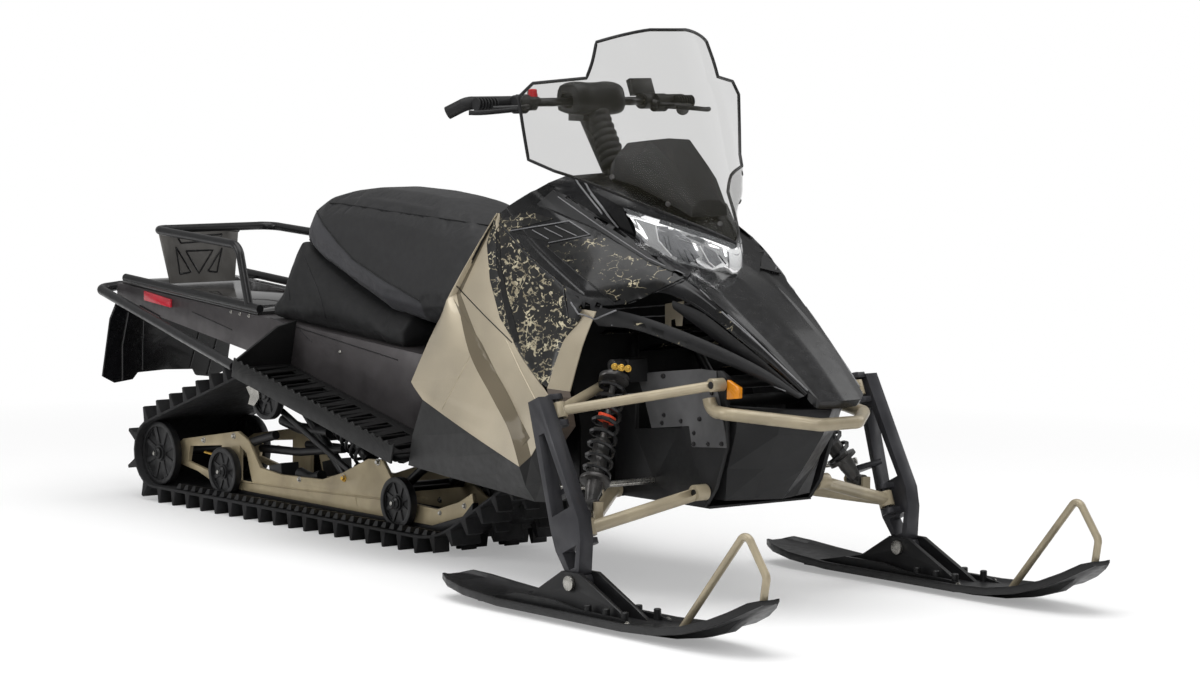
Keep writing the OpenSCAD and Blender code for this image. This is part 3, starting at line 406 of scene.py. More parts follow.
class Finishes:
    """The finishes of this machine."""

    GLOSS = Finish("gloss_black_panel", (14, 14, 15), "gloss_black", 0.24, 0.05, coat=0.14, grain=420, relief=0.02)
    SATIN = Finish("satin_black_panel", (25, 25, 26), "black_plastic", 0.42, 0.07, grain=900, relief=0.06)
    PLASTIC = Finish("moulded_black", (26, 26, 27), "black_plastic", 0.4, 0.08, grain=1100, relief=0.14)
    # Near-black standing in for shade: painted shade on inner sides, in vents, the slit, the lamp, the engine bay
    # and under the boards; also one dark seam.
    DEEP = Finish("shaded_black", (9, 9, 9), "black_plastic", 0.7, 0.05, grain=800, relief=0.2)
    # Light grey for thin lines on the black hood: painted highlights along edges, slats and fins.
    EDGE = Finish("painted_highlight_grey", (104, 104, 106), "gloss_black", 0.3, 0.06, coat=0.3, grain=700, relief=0.02)
    GREY = Finish("dark_grey_plastic", (44, 44, 46), "grey_plastic", 0.5, 0.07, grain=900, relief=0.03)
    BELLY = Finish("belly_grey", (33, 33, 33), "grey_plastic", 0.5, 0.06, coat=0.0, grain=800, relief=0.1)
    SHEET = Finish("dark_sheet_metal", (38, 37, 38), "dark_sheet", 0.38, 0.08, metal=0.35, grain=700, relief=0.1)
    TUNNEL = Finish("tunnel_sheet_metal", (70, 67, 68), "dark_sheet", 0.38, 0.08, metal=0.35, grain=700, relief=0.1)
    TREAD = Finish("tread_sheet_metal", (17, 17, 17), "dark_sheet", 0.45, 0.08, metal=0.2, grain=700, relief=0.1)
    DECK = Finish("polished_deck", (42, 41, 41), "dark_sheet", 0.14, 0.04, coat=1.0, change=0.05, relief=0.0)
    BOARD = Finish("board_grey", (92, 90, 87), "black_plastic", 0.4, 0.07, grain=900, relief=0.06)
    TUBE = Finish("black_tube_paint", (22, 22, 23), "black_tube", 0.36, 0.08, coat=0.15, grain=1500, relief=0.12)
    TAN = FlakePaint("tan_flake_paint", (182, 171, 149), "tan_panel", 0.36, 0.05, metal=0.4, coat=0.3, change=0.05,
                     patch=4, relief=0.02)
    # Tan darkened for the fold wall: painted shade on the side panel's tan.
    FOLD = FlakePaint("tan_fold_painted_shade", (98, 89, 72), "tan_panel", 0.42, 0.05, metal=0.3, coat=0.2, change=0.08,
                      patch=4, relief=0.02)
    PALE = Camouflage("pale_print", (90, 88, 82), "gloss_black", 0.4, 0.06, coat=0.1, grain=700, relief=0.03)
    # Dark tan for the flank turned away from the light: painted shadow.
    SHADE = Finish("tan_painted_shadow", (66, 56, 47), "tan_panel", 0.5, 0.06, change=0.08, relief=0.05)
    TAN_TUBE = Finish("tan_tube_paint", (158, 147, 124), "tan_tube", 0.4, 0.07, metal=0.2, coat=0.2, change=0.08,
                      grain=1500, relief=0.08)
    RAIL = Finish("tan_rail_paint", (164, 151, 123), "tan_tube", 0.42, 0.08, metal=0.3, coat=0.1, change=0.1,
                  grain=900, relief=0.1)
    CAMO = Camouflage("splinter_print", (20, 20, 19), "gloss_black", 0.36, 0.06, coat=0.12, grain=700, relief=0.03,
                      lines=0.13, blots=0.585)
    THIN = Camouflage("thin_splinter_print", (20, 20, 19), "gloss_black", 0.3, 0.06, coat=0.15, grain=700,
                      relief=0.03,
                      lines=0.055, blots=0.7)
    SEAT = Vinyl("seat_vinyl", (31, 31, 32), "seat_cover", 0.6, 0.06, change=0.08)
    BAND = Vinyl("seat_band_vinyl", (54, 54, 57), "seat_cover", 0.56, 0.06, change=0.06)
    BAG = Vinyl("bag_fabric", (18, 18, 19), "seat_cover", 0.62, 0.06, change=0.14)
    PIPING = Finish("seat_piping", (22, 22, 23), "seat_cover", 0.5, 0.05, grain=1600, relief=0.2)
    RUBBER = Finish("track_rubber_finish", (27, 27, 28), "track_rubber", 0.66, 0.1, change=0.22, grain=500,
                    relief=0.3, depth=0.0006)
    GRIP = Finish("grip_rubber_finish", (24, 24, 25), "grip_rubber", 0.62, 0.08, grain=900, relief=0.3)
    STEEL = Finish("zinc_steel", (168, 166, 160), "steel", 0.3, 0.1, metal=0.95, change=0.1, patch=40)
    BRASS = Finish("yellow_zinc", (196, 158, 74), "steel", 0.32, 0.1, metal=0.9, change=0.12, patch=60)
    DAMPER = Finish("shock_body_metal", (72, 71, 70), "steel", 0.34, 0.08, metal=0.6, patch=30)
    SPRING = Finish("spring_paint", (24, 24, 25), "spring_steel", 0.34, 0.08, coat=0.3)
    CAST = Finish("spindle_casting", (58, 58, 61), "casting", 0.42, 0.08, metal=0.45, grain=500, relief=0.18)
    PLATE = Finish("bulkhead_plate", (88, 88, 89), "dark_sheet", 0.45, 0.08, metal=0.3, grain=600, relief=0.12)
    CHROME = Finish("reflector_chrome", (226, 226, 226), "lamp_lens", 0.1, 0.04, metal=1.0, change=0.04, relief=0.0)
    # Darker chrome for patches on the reflector: painted shade.
    DISH = Finish("reflector_painted_shade", (138, 138, 140), "lamp_lens", 0.22, 0.06, metal=0.9, change=0.1, patch=60,
                  relief=0.0)
    # White for patches and lines inside the lamp: painted highlight.
    WHITE = Finish("lamp_painted_highlight", (232, 232, 232), "lamp_lens", 0.3, 0.05, change=0.03, relief=0.0)
    # Near-black for the bulkhead under the nose: painted shadow.
    SHADOW = Finish("painted_shadow_black", (22, 22, 23), "black_plastic", 0.5, 0.07, grain=900, relief=0.1)
    CLEAR = Clear("lamp_clear", (235, 238, 240), "lamp_lens", 0.05, 0.02, coat=0.3, change=0.02, relief=0.0,
                  alpha=0.07)
    SCREEN = Clear("screen_tint", (52, 50, 42), "screen", 0.06, 0.03, coat=0.0, change=0.04, relief=0.0,
                   alpha=0.2, gloss=0.12)
    RED = Lens("red_reflector", (178, 38, 52), "red_lens", 0.22, 0.04, coat=0.4)
    AMBER = Lens("amber_reflector", (206, 128, 22), "amber_lens", 0.22, 0.04, coat=0.4)
    RED_CAP = Finish("red_plastic", (190, 36, 44), "red_lens", 0.4, 0.06, grain=900, relief=0.1)
    ORANGE = Finish("orange_ring", (214, 74, 44), "red_lens", 0.35, 0.06)


class Shape:
    """Gathers the faces of one piece in millimetres and turns them into an object."""

    def __init__(self) -> None:
        """Starts with no faces."""
        self.bm = bmesh.new()

    def faces(self, points: Sequence[Sequence[float]], loops: Iterable[Sequence[int]], paint: int = 0) -> list:
        """Adds points and the faces between them.

        Args:
            points: corner points in millimetres.
            loops: indexes of each face.
            paint: finish index of the faces.

        Returns:
            The new faces.
        """
        verts = [self.bm.verts.new(metres(p)) for p in points]
        made = []
        for loop in loops:
            try:
                face = self.bm.faces.new([verts[i] for i in loop])
            except ValueError:
                continue
            face.material_index = paint
            made.append(face)
        return made

    def skin(self, grid: Sequence[Sequence[Vector]], thick: float = 3.0, paint: int = 0,
             inward: Optional[Callable[[Vector], Vector]] = None, back: Optional[int] = None) -> list:
        """Adds a sheet with thickness.

        Args:
            grid: rows of points on the outer side.
            thick: thickness of the sheet.
            paint: finish index of the outer side.
            inward: gives the direction to the inner side at a point.
            back: finish index of the inner side, if another one.

        Returns:
            The faces of the outer side.
        """
        rows, cols = len(grid), len(grid[0])
        aim = inward or core_way
        outer = [p for r in grid for p in r]
        inner = [p + thick * aim(p) for p in outer]
        n = rows * cols
        at = lambda i, j: i * cols + j
        top = [(at(i, j), at(i + 1, j), at(i + 1, j + 1), at(i, j + 1))
               for i in range(rows - 1) for j in range(cols - 1)]
        low = [tuple(n + k for k in reversed(f)) for f in top]
        rim = [at(0, j) for j in range(cols)] + [at(i, cols - 1) for i in range(1, rows)]
        rim += [at(rows - 1, j) for j in range(cols - 2, -1, -1)] + [at(i, 0) for i in range(rows - 2, 0, -1)]
        side = [(rim[k], rim[(k + 1) % len(rim)], n + rim[(k + 1) % len(rim)], n + rim[k]) for k in range(len(rim))]
        made = self.faces(outer + inner, top + low + side, paint)
        for f in made[len(top):len(top) + len(low)]:
            f.material_index = paint if back is None else back
        return made[:len(top)]

    def tube(self, path: Sequence[Sequence[float]], radius: float | Sequence[float], sides: int = 12,
             paint: int = 0, closed: bool = False) -> None:
        """Adds a round bar along a path.

        Args:
            path: points of its centre line.
            radius: one radius, or one for each point.
            sides: faces round it.
            paint: finish index.
            closed: joins the ends.
        """
        pts = [Vector(p) for p in path]
        n = len(pts)
        radii = [radius] * n if isinstance(radius, (int, float)) else list(radius)
        ways = []
        for i in range(n):
            a = pts[(i - 1) % n] if closed or i > 0 else pts[i]
            b = pts[(i + 1) % n] if closed or i < n - 1 else pts[i]
            ways.append((b - a).normalized())
        side = ways[0].orthogonal().normalized()
        points = []
        for p, way, r in zip(pts, ways, radii):
            side = (side - side.dot(way) * way).normalized()
            up = way.cross(side)
            for k in range(sides):
                turn = 2 * math.pi * k / sides
                points.append(p + r * (math.cos(turn) * side + math.sin(turn) * up))
        loops = []
        for i in range(n if closed else n - 1):
            for k in range(sides):
                a, b = i * sides + k, i * sides + (k + 1) % sides
                c, d = ((i + 1) % n) * sides + (k + 1) % sides, ((i + 1) % n) * sides + k
                loops.append((a, b, c, d))
        if not closed:
            loops.append(tuple(range(sides - 1, -1, -1)))
            loops.append(tuple((n - 1) * sides + k for k in range(sides)))
        self.faces(points, loops, paint)

    def turned(self, profile: Sequence[tuple[float, float]], foot: Sequence[float], way: Sequence[float],
               sides: int = 24, paint: int = 0, spin: float = 0.0) -> None:
        """Adds a turned form.

        Args:
            profile: radius and height pairs, from its foot up.
            foot: the foot's centre.
            way: direction of the axis.
            sides: faces round it.
            paint: finish index.
            spin: turn about the axis in radians.
        """
        axis = Vector(way).normalized()
        side = axis.orthogonal().normalized()
        up = axis.cross(side)
        points = []
        for r, h in profile:
            for k in range(sides):
                t = 2 * math.pi * k / sides + spin
                points.append(Vector(foot) + h * axis + r * (math.cos(t) * side + math.sin(t) * up))
        loops = [(i * sides + k, i * sides + (k + 1) % sides, (i + 1) * sides + (k + 1) % sides, (i + 1) * sides + k)
                 for i in range(len(profile) - 1) for k in range(sides)]
        loops.append(tuple(range(sides - 1, -1, -1)))
        loops.append(tuple((len(profile) - 1) * sides + k for k in range(sides)))
        self.faces(points, loops, paint)

    def bolt(self, foot: Sequence[float], way: Sequence[float], size: float, paint: int = 0) -> None:
        """Adds a flanged hexagon head with a washer.

        Args:
            foot: where it sits.
            way: direction it stands out.
            size: radius of the washer.
            paint: finish index.
        """
        self.turned([(size, 0), (size, size * 0.14), (size * 0.9, size * 0.22)], foot, way, 20, paint)
        head = Vector(foot) + Vector(way).normalized() * size * 0.2
        self.turned([(size * 0.66, 0), (size * 0.66, size * 0.5), (size * 0.54, size * 0.62)], head, way, 6, paint)

    def solid(self, low: Sequence[Sequence[float]], high: Sequence[Sequence[float]], paint: int = 0) -> None:
        """Adds a solid between two outlines of equal length.

        Args:
            low: outline of one end.
            high: outline of the other end.
            paint: finish index.
        """
        n = len(low)
        loops = [(k, (k + 1) % n, n + (k + 1) % n, n + k) for k in range(n)]
        loops += [tuple(range(n - 1, -1, -1)), tuple(range(n, 2 * n))]
        self.faces(list(low) + list(high), loops, paint)

    def mirrored(self) -> None:
        """Adds the mirror image across the middle of the machine."""
        made = bmesh.ops.duplicate(self.bm, geom=self.bm.verts[:] + self.bm.edges[:] + self.bm.faces[:])["geom"]
        for v in made:
            if isinstance(v, bmesh.types.BMVert):
                v.co.y = -v.co.y
        bmesh.ops.reverse_faces(self.bm, faces=[f for f in made if isinstance(f, bmesh.types.BMFace)])

    def piece(self, name: str, finishes: Sequence[Finish], body: Body = Body.CHASSIS, crease: float = 35,
              bevel: float = 0.0, replaces: Sequence[str] = (), weld: bool = True) -> bpy.types.Object:
        """Makes the object and lets it ride on its body.

        Args:
            name: the piece's name.
            finishes: finishes by index.
            body: body that it rides on.
            crease: angle in degrees above which an edge stays sharp.
            bevel: width of a round on sharp edges, in millimetres.
            replaces: CAD nodes that it stands for.
            weld: joins points that coincide.

        Returns:
            The object.
        """
        if weld:
            bmesh.ops.remove_doubles(self.bm, verts=self.bm.verts[:], dist=0.00002)
        bmesh.ops.recalc_face_normals(self.bm, faces=self.bm.faces[:])
        mesh = bpy.data.meshes.new(name)
        self.bm.to_mesh(mesh)
        self.bm.free()
        for f in finishes:
            mesh.materials.append(f.material())
        obj = bpy.data.objects.new(name, mesh)
        bpy.context.scene.collection.objects.link(obj)
        soften(obj, crease)
        if bevel:
            round_edges(obj, bevel, crease)
        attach(obj, body.value)
        if replaces:
            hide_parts(*replaces)
        LOG.info("%s: %d faces", name, len(mesh.polygons))
        return obj


def core_way(p: Vector) -> Vector:
    """Returns the direction from a body panel's point towards the machine's core."""
    return (Vector((max(250.0, min(900.0, p.x)), 0.0, 640.0)) - p).normalized()


def soften(obj: bpy.types.Object, crease: float) -> None:
    """Shades an object smooth, with sharp edges above an angle.

    Args:
        obj: the object.
        crease: the angle in degrees.
    """
    obj.data.shade_smooth()
    obj.data.set_sharp_from_angle(angle=math.radians(crease))


def round_edges(obj: bpy.types.Object, width: float, crease: float = 35) -> None:
    """Rounds an object's sharp edges with modifiers.

    Args:
        obj: the object.
        width: width of the round in millimetres.
        crease: angle in degrees above which an edge is rounded.
    """
    weld = obj.modifiers.new("join", "WELD")
    weld.merge_threshold = 0.00002
    rounding = obj.modifiers.new("round", "BEVEL")
    rounding.width = width * MM
    rounding.segments = 2
    rounding.limit_method = "ANGLE"
    rounding.angle_limit = math.radians(crease)
    rounding.use_clamp_overlap = True
    rounding.harden_normals = True


@dataclass
class Camera:
    """The camera at the photograph's place."""

    place: Point = (8468.8, -6455.3, 1516.3)
    azimuth: float = -38.713
    elevation: float = 4.994
    roll: float = 0.507
    focal: float = 3984.1
    width: float = 1200.0
    height: float = 675.0
    axes: list = field(default_factory=list)

    def __post_init__(self) -> None:
        """Works out the camera's right, up and forward directions."""
        a, e, t = (math.radians(v) for v in (self.azimuth, self.elevation, self.roll))
        ahead = Vector((-math.cos(e) * math.cos(a), -math.cos(e) * math.sin(a), -math.sin(e)))
        right = ahead.cross(Vector((0, 0, 1))).normalized()
        up = right.cross(ahead)
        self.axes = [math.cos(t) * right + math.sin(t) * up, math.cos(t) * up - math.sin(t) * right, ahead]

    def make(self) -> None:
        """Adds the camera to the scene."""
        data = bpy.data.cameras.new("camera")
        data.sensor_width = 36.0
        data.lens = self.focal / self.width * 36.0
        data.clip_end = 100.0
        obj = bpy.data.objects.new("camera", data)
        right, up, ahead = self.axes
        turn = Matrix((right, up, -ahead)).transposed().to_4x4()
        obj.matrix_world = Matrix.Translation(metres(self.place)) @ turn
        bpy.context.scene.collection.objects.link(obj)
        bpy.context.scene.camera = obj

    def ray(self, pixel: Pixel) -> Vector:
        """Returns the direction of sight through a point of the picture."""
        right, up, ahead = self.axes
        return (ahead * self.focal + right * (pixel[0] - self.width / 2)
                - up * (pixel[1] - self.height / 2)).normalized()

    def at(self, pixel: Pixel, axis: int, value: float) -> Vector:
        """Finds the point on a plane that shows at a place in the picture.

        Args:
            pixel: the place in the picture.
            axis: 0, 1 or 2 for a plane across x, y or z.
            value: the plane's place along that axis in millimetres.

        Returns:
            The point in millimetres.
        """
        way = self.ray(pixel)
        eye = Vector(self.place)
        return eye + way * ((value - eye[axis]) / way[axis])

    def seen(self, p: Vector) -> Pixel:
        """Returns where a point in millimetres shows in the picture."""
        right, up, ahead = self.axes
        d = p - Vector(self.place)
        deep = d.dot(ahead)
        return (self.width / 2 + self.focal * d.dot(right) / deep, self.height / 2 - self.focal * d.dot(up) / deep)


CAMERA = Camera()


class Carrier:
    """A surface that small pieces are laid on, found along the lines of sight."""

    def __init__(self, *objects: bpy.types.Object) -> None:
        """Takes the outer faces of some objects.

        Args:
            objects: the objects that carry pieces.
        """
        points, loops = [], []
        for o in objects:
            first = len(points)
            points += [v.co / MM for v in o.data.vertices]
            loops += [[first + i for i in f.vertices] for f in o.data.polygons]
        self.tree = BVHTree.FromPolygons(points, loops)

    def hit(self, pixel: Pixel) -> Optional[tuple[Vector, Vector]]:
        """Finds the point of the surface that shows at a place in the picture.

        Args:
            pixel: the place in the picture.

        Returns:
            The point and its outward normal, or None.
        """
        way = CAMERA.ray(pixel)
        p, n, _, _ = self.tree.ray_cast(Vector(CAMERA.place), way)
        if p is None:
            return None
        return p, (n if n.dot(way) < 0 else -n)

    def line(self, pixels: Sequence[Pixel], lift: float = 0.0, steps: int = 6) -> list[Vector]:
        """Lays a line on the surface.

        Args:
            pixels: corners of the line in the picture.
            lift: height above the surface in millimetres.
            steps: pieces between two corners.

        Returns:
            The points of the line that lie on the surface.
        """
        out = []
        for i in range(len(pixels) - 1):
            for s in range(steps + (i == len(pixels) - 2)):
                t = s / steps
                found = self.hit(tuple(a + (b - a) * t for a, b in zip(pixels[i], pixels[i + 1])))
                if found:
                    out.append(found[0] + lift * found[1])
        return out

    def patch(self, shape: Shape, pixels: Sequence[Pixel], lift: float, paint: int = 0, rim: int = 0,
              fine: int = 3) -> None:
        """Lays a raised patch on the surface.

        Args:
            shape: takes the faces.
            pixels: outline of the patch in the picture.
            lift: height of its face above the surface in millimetres.
            paint: finish index of the face.
            rim: finish index of its edge.
            fine: how often its faces are halved.
        """
        flat = bmesh.new()
        flat.faces.new([flat.verts.new((x, y, 0)) for x, y in pixels])
        bmesh.ops.triangulate(flat, faces=flat.faces[:])
        for _ in range(fine):
            long = [e for e in flat.edges if e.calc_length() > 5]
            if long:
                bmesh.ops.subdivide_edges(flat, edges=long, cuts=1)
                bmesh.ops.triangulate(flat, faces=flat.faces[:])
        flat.verts.index_update()
        base, top, good = [], [], []
        for v in flat.verts:
            found = self.hit((v.co.x, v.co.y))
            good.append(found is not None)
            p, n = found or (Vector(), Vector())
            base.append(p - 1.0 * n)
            top.append(p + lift * n)
        n = len(top)
        inside = [[v.index for v in f.verts] for f in flat.faces if all(good[v.index] for v in f.verts)]
        edges = [(e.verts[0].index, e.verts[1].index) for e in flat.edges if e.is_boundary]
        shape.faces(top, inside, paint)
        shape.faces(top + base, [(a, b, n + b, n + a) for a, b in edges if good[a] and good[b]], rim)
        flat.free()


def inside(pixel: Pixel, outline: Sequence[Pixel]) -> bool:
    """Tells whether a place lies inside an outline in the picture.

    Args:
        pixel: the place.
        outline: corners of the outline.

    Returns:
        True if it lies inside.
    """
    x, y = pixel
    hit = False
    for (x0, y0), (x1, y1) in zip(outline, list(outline[1:]) + [outline[0]]):
        if (y0 > y) != (y1 > y) and x < (x1 - x0) * (y - y0) / (y1 - y0) + x0:
            hit = not hit
    return hit


RIDGE: list[Point] = [(453, -205, 1023), (640, -205, 950), (808, -190, 878), (1000, -147, 775), (1190, -108, 655),
                      (1325, -84, 552)]
SHOULDER_LOW: list[Point] = [(350, -280, 943), (518, -312, 846), (752, -334, 734), (842, -266, 742),
                             (905, -206, 772), (1012, -160, 732), (1178, -112, 630), (1320, -88, 544)]
SIDE_REAR: list[Point] = [(336, -279.7, 942.5), (270, -292, 845), (186, -302, 735), (105, -318, 610),
                          (35, -330, 485), (62, -340, 474), (128, -360, 448)]
SIDE_FOLD: list[Point] = [(342, -279.9, 942.5), (279, -293, 845), (200, -306, 727), (322, -356, 588),
                          (466, -390, 484), (552, -402, 410), (600, -404, 322)]
SIDE_STEP: list[Point] = [(346, -280, 942.5), (288, -293, 846), (214, -303, 728), (352, -338, 602),
                          (500, -366, 498), (588, -386, 424), (640, -398, 352)]
SIDE_FRONT: list[Point] = [(350, -280.1, 942.5), (360, -294, 832), (398, -311, 730), (502, -345, 617),
                           (648, -379, 535), (708, -400, 511), (731, -402, 439)]
LAMP_TOP: list[Point] = [(716, -172, 972), (842, -92, 932), (908, -46, 909), (949, 0, 890)]
LAMP_LOW: list[Point] = [(756, -162, 898), (852, -98, 838), (915, -48, 822), (950, 0, 815)]


@dataclass
class Studio:
    """Floor, light and background."""

    floor_size: float = 60.0
    floor_colour: Colour = (250, 250, 250)
    sky: float = 0.34
    near: float = 1.9
    far: float = 4.2
    lamps: list = field(default_factory=lambda: [
        ("lamp_over", (0.6, -0.6, 5.5), 6.0, 300), ("lamp_front", (6.0, -4.5, 3.6), 3.0, 110),
        ("lamp_side", (-3.2, -6.0, 3.4), 3.0, 120), ("lamp_far", (1.5, 6.0, 4.0), 4.0, 90)])

    def make(self) -> None:
        """Adds the floor, the lamps and the world's light."""
        self.floor()
        for name, place, size, power in self.lamps:
            data = bpy.data.lights.new(name, "AREA")
            data.size = size
            data.energy = power
            obj = bpy.data.objects.new(name, data)
            obj.location = place
            obj.rotation_euler = (Vector((0.2, 0, 0.5)) - Vector(place)).to_track_quat("-Z", "Y").to_euler()
            bpy.context.scene.collection.objects.link(obj)
        self.world()
        bpy.context.scene.view_settings.view_transform = "Standard"

    def floor(self) -> None:
        """Adds the plain pale floor."""
        half = self.floor_size / 2 / MM
        shape = Shape()
        shape.faces([(-half, -half, -0.5), (half, -half, -0.5), (half, half, -0.5), (-half, half, -0.5)],
                    [(0, 1, 2, 3)])
        mesh = bpy.data.meshes.new("floor")
        shape.bm.to_mesh(mesh)
        shape.bm.free()
        obj = bpy.data.objects.new("floor", mesh)
        bpy.context.scene.collection.objects.link(obj)
        g = Graph("floor_white")
        g.link(g.ramp(g.noise(2.0, 2), (0.3, (249, 249, 249)), (0.7, self.floor_colour)), "Base Color")
        g.set(Roughness=0.9)
        self.fade(g)
        mesh.materials.append(g.material)

    def fade(self, g: Graph) -> None:
        """Lets the floor turn into the white background away from the machine.

        Args:
            g: the floor's nodes.
        """
        reach = g.add("ShaderNodeVectorMath", {0: g.place}, operation="LENGTH").outputs["Value"]
        share = g.span(reach, 0.3, 1.0, self.near, self.far)
        eye = g.add("ShaderNodeLightPath").outputs["Is Camera Ray"]
        both = g.add("ShaderNodeMath", {0: share, 1: eye}, operation="MULTIPLY").outputs[0]
        white = g.add("ShaderNodeEmission", {"Color": (1, 1, 1, 1), "Strength": 1.0}).outputs[0]
        blend = g.add("ShaderNodeMixShader", {0: both, 1: g.shader.outputs[0], 2: white})
        g.tree.links.new(blend.outputs[0], g.tree.nodes["Material Output"].inputs["Surface"])

    def world(self) -> None:
        """Sets a white background and a softer light from all round."""
        world = bpy.data.worlds.new("studio")
        bpy.context.scene.world = world
        world.use_nodes = True
        tree = world.node_tree
        plain = tree.nodes["Background"]
        plain.inputs["Color"].default_value = (1, 1, 1, 1)
        plain.inputs["Strength"].default_value = self.sky
        white = tree.nodes.new("ShaderNodeBackground")
        white.inputs["Color"].default_value = (1, 1, 1, 1)
        white.inputs["Strength"].default_value = 1.0
        path = tree.nodes.new("ShaderNodeLightPath")
        most = tree.nodes.new("ShaderNodeMath")
        most.operation = "MAXIMUM"
        tree.links.new(path.outputs["Is Camera Ray"], most.inputs[0])
        tree.links.new(path.outputs["Is Transmission Ray"], most.inputs[1])
        both = tree.nodes.new("ShaderNodeMixShader")
        tree.links.new(most.outputs[0], both.inputs[0])
        tree.links.new(plain.outputs[0], both.inputs[1])
        tree.links.new(white.outputs[0], both.inputs[2])
        tree.links.new(both.outputs[0], tree.nodes["World Output"].inputs["Surface"])


@dataclass
class Solids:
    """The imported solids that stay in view, with their finishes and edge rounds."""

    finishes: dict[str, tuple[Finish, float, float]] = field(default_factory=lambda: {
        "tunnel": (Finishes.TUNNEL, 1.2, 30), "running_boards": (Finishes.TREAD, 0.8, 30),
        "rear_bumper": (Finishes.TUBE, 0, 30), "snow_flap": (Finishes.GLOSS, 2.0, 30),
        "rack_deck": (Finishes.DECK, 1.5, 30), "rack_rails": (Finishes.TUBE, 0, 30),
        "rack_board": (Finishes.BOARD, 1.5, 30), "tail_lamps": (Finishes.RED, 1.0, 30),
        "track": (Finishes.RUBBER, 1.5, 40), "skid_rails": (Finishes.RAIL, 1.0, 30),
        "skid_slides": (Finishes.PLASTIC, 1.0, 30), "rear_idlers": (Finishes.PLASTIC, 1.0, 35),
        "bogie_wheels": (Finishes.PLASTIC, 1.0, 35), "carrier_wheels": (Finishes.PLASTIC, 1.0, 35),
        "skid_arms": (Finishes.TUBE, 0.8, 30), "skid_shocks": (Finishes.DAMPER, 0.5, 30),
        "drive_axle": (Finishes.PLASTIC, 0.8, 30), "engine": (Finishes.GREY, 3.0, 30),
        # The bulkhead is dark as painted shadow.
        "bulkhead": (Finishes.SHADOW, 1.0, 30), "belly_pan": (Finishes.BELLY, 0, 50),
        "nose_pan": (Finishes.SATIN, 0, 40), "console": (Finishes.SATIN, 0, 40),
        "instrument_pod": (Finishes.GREY, 3.0, 28), "front_bumper": (Finishes.TAN_TUBE, 0, 40),
        "marker_lamps": (Finishes.AMBER, 2.0, 30), "upper_arms": (Finishes.TAN_TUBE, 0.8, 40),
        "lower_arms": (Finishes.TAN_TUBE, 0.8, 40), "ski_shocks": (Finishes.DAMPER, 0.8, 30),
        "shock_springs": (Finishes.SPRING, 0, 50), "steering_support": (Finishes.TUBE, 0, 40),
        "handlebar": (Finishes.TUBE, 1.5, 40), "grips": (Finishes.GRIP, 1.0, 40),
        "bar_controls": (Finishes.PLASTIC, 1.5, 35), "bar_pad": (Finishes.SATIN, 6.0, 30),
        "steering_link": (Finishes.STEEL, 0.6, 40), "spindle_right": (Finishes.CAST, 2.0, 30),
        "spindle_left": (Finishes.CAST, 2.0, 30), "ski_right": (Finishes.PLASTIC, 1.5, 45),
        "ski_left": (Finishes.PLASTIC, 1.5, 45), "ski_bolts_right": (Finishes.STEEL, 1.0, 30),
        "ski_bolts_left": (Finishes.STEEL, 1.0, 30), "ski_loop_right": (Finishes.TAN_TUBE, 0, 40),
        "ski_loop_left": (Finishes.TAN_TUBE, 0, 40)})

    def dress(self) -> None:
        """Gives each solid its finish, smooth shading and rounded edges."""
        for name, (finish, width, crease) in self.finishes.items():
            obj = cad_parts[name]
            obj.data.materials.clear()
            obj.data.materials.append(finish.material())
            soften(obj, crease)
            if width:
                round_edges(obj, width, crease)
            LOG.info("%s: %s", name, finish.name)


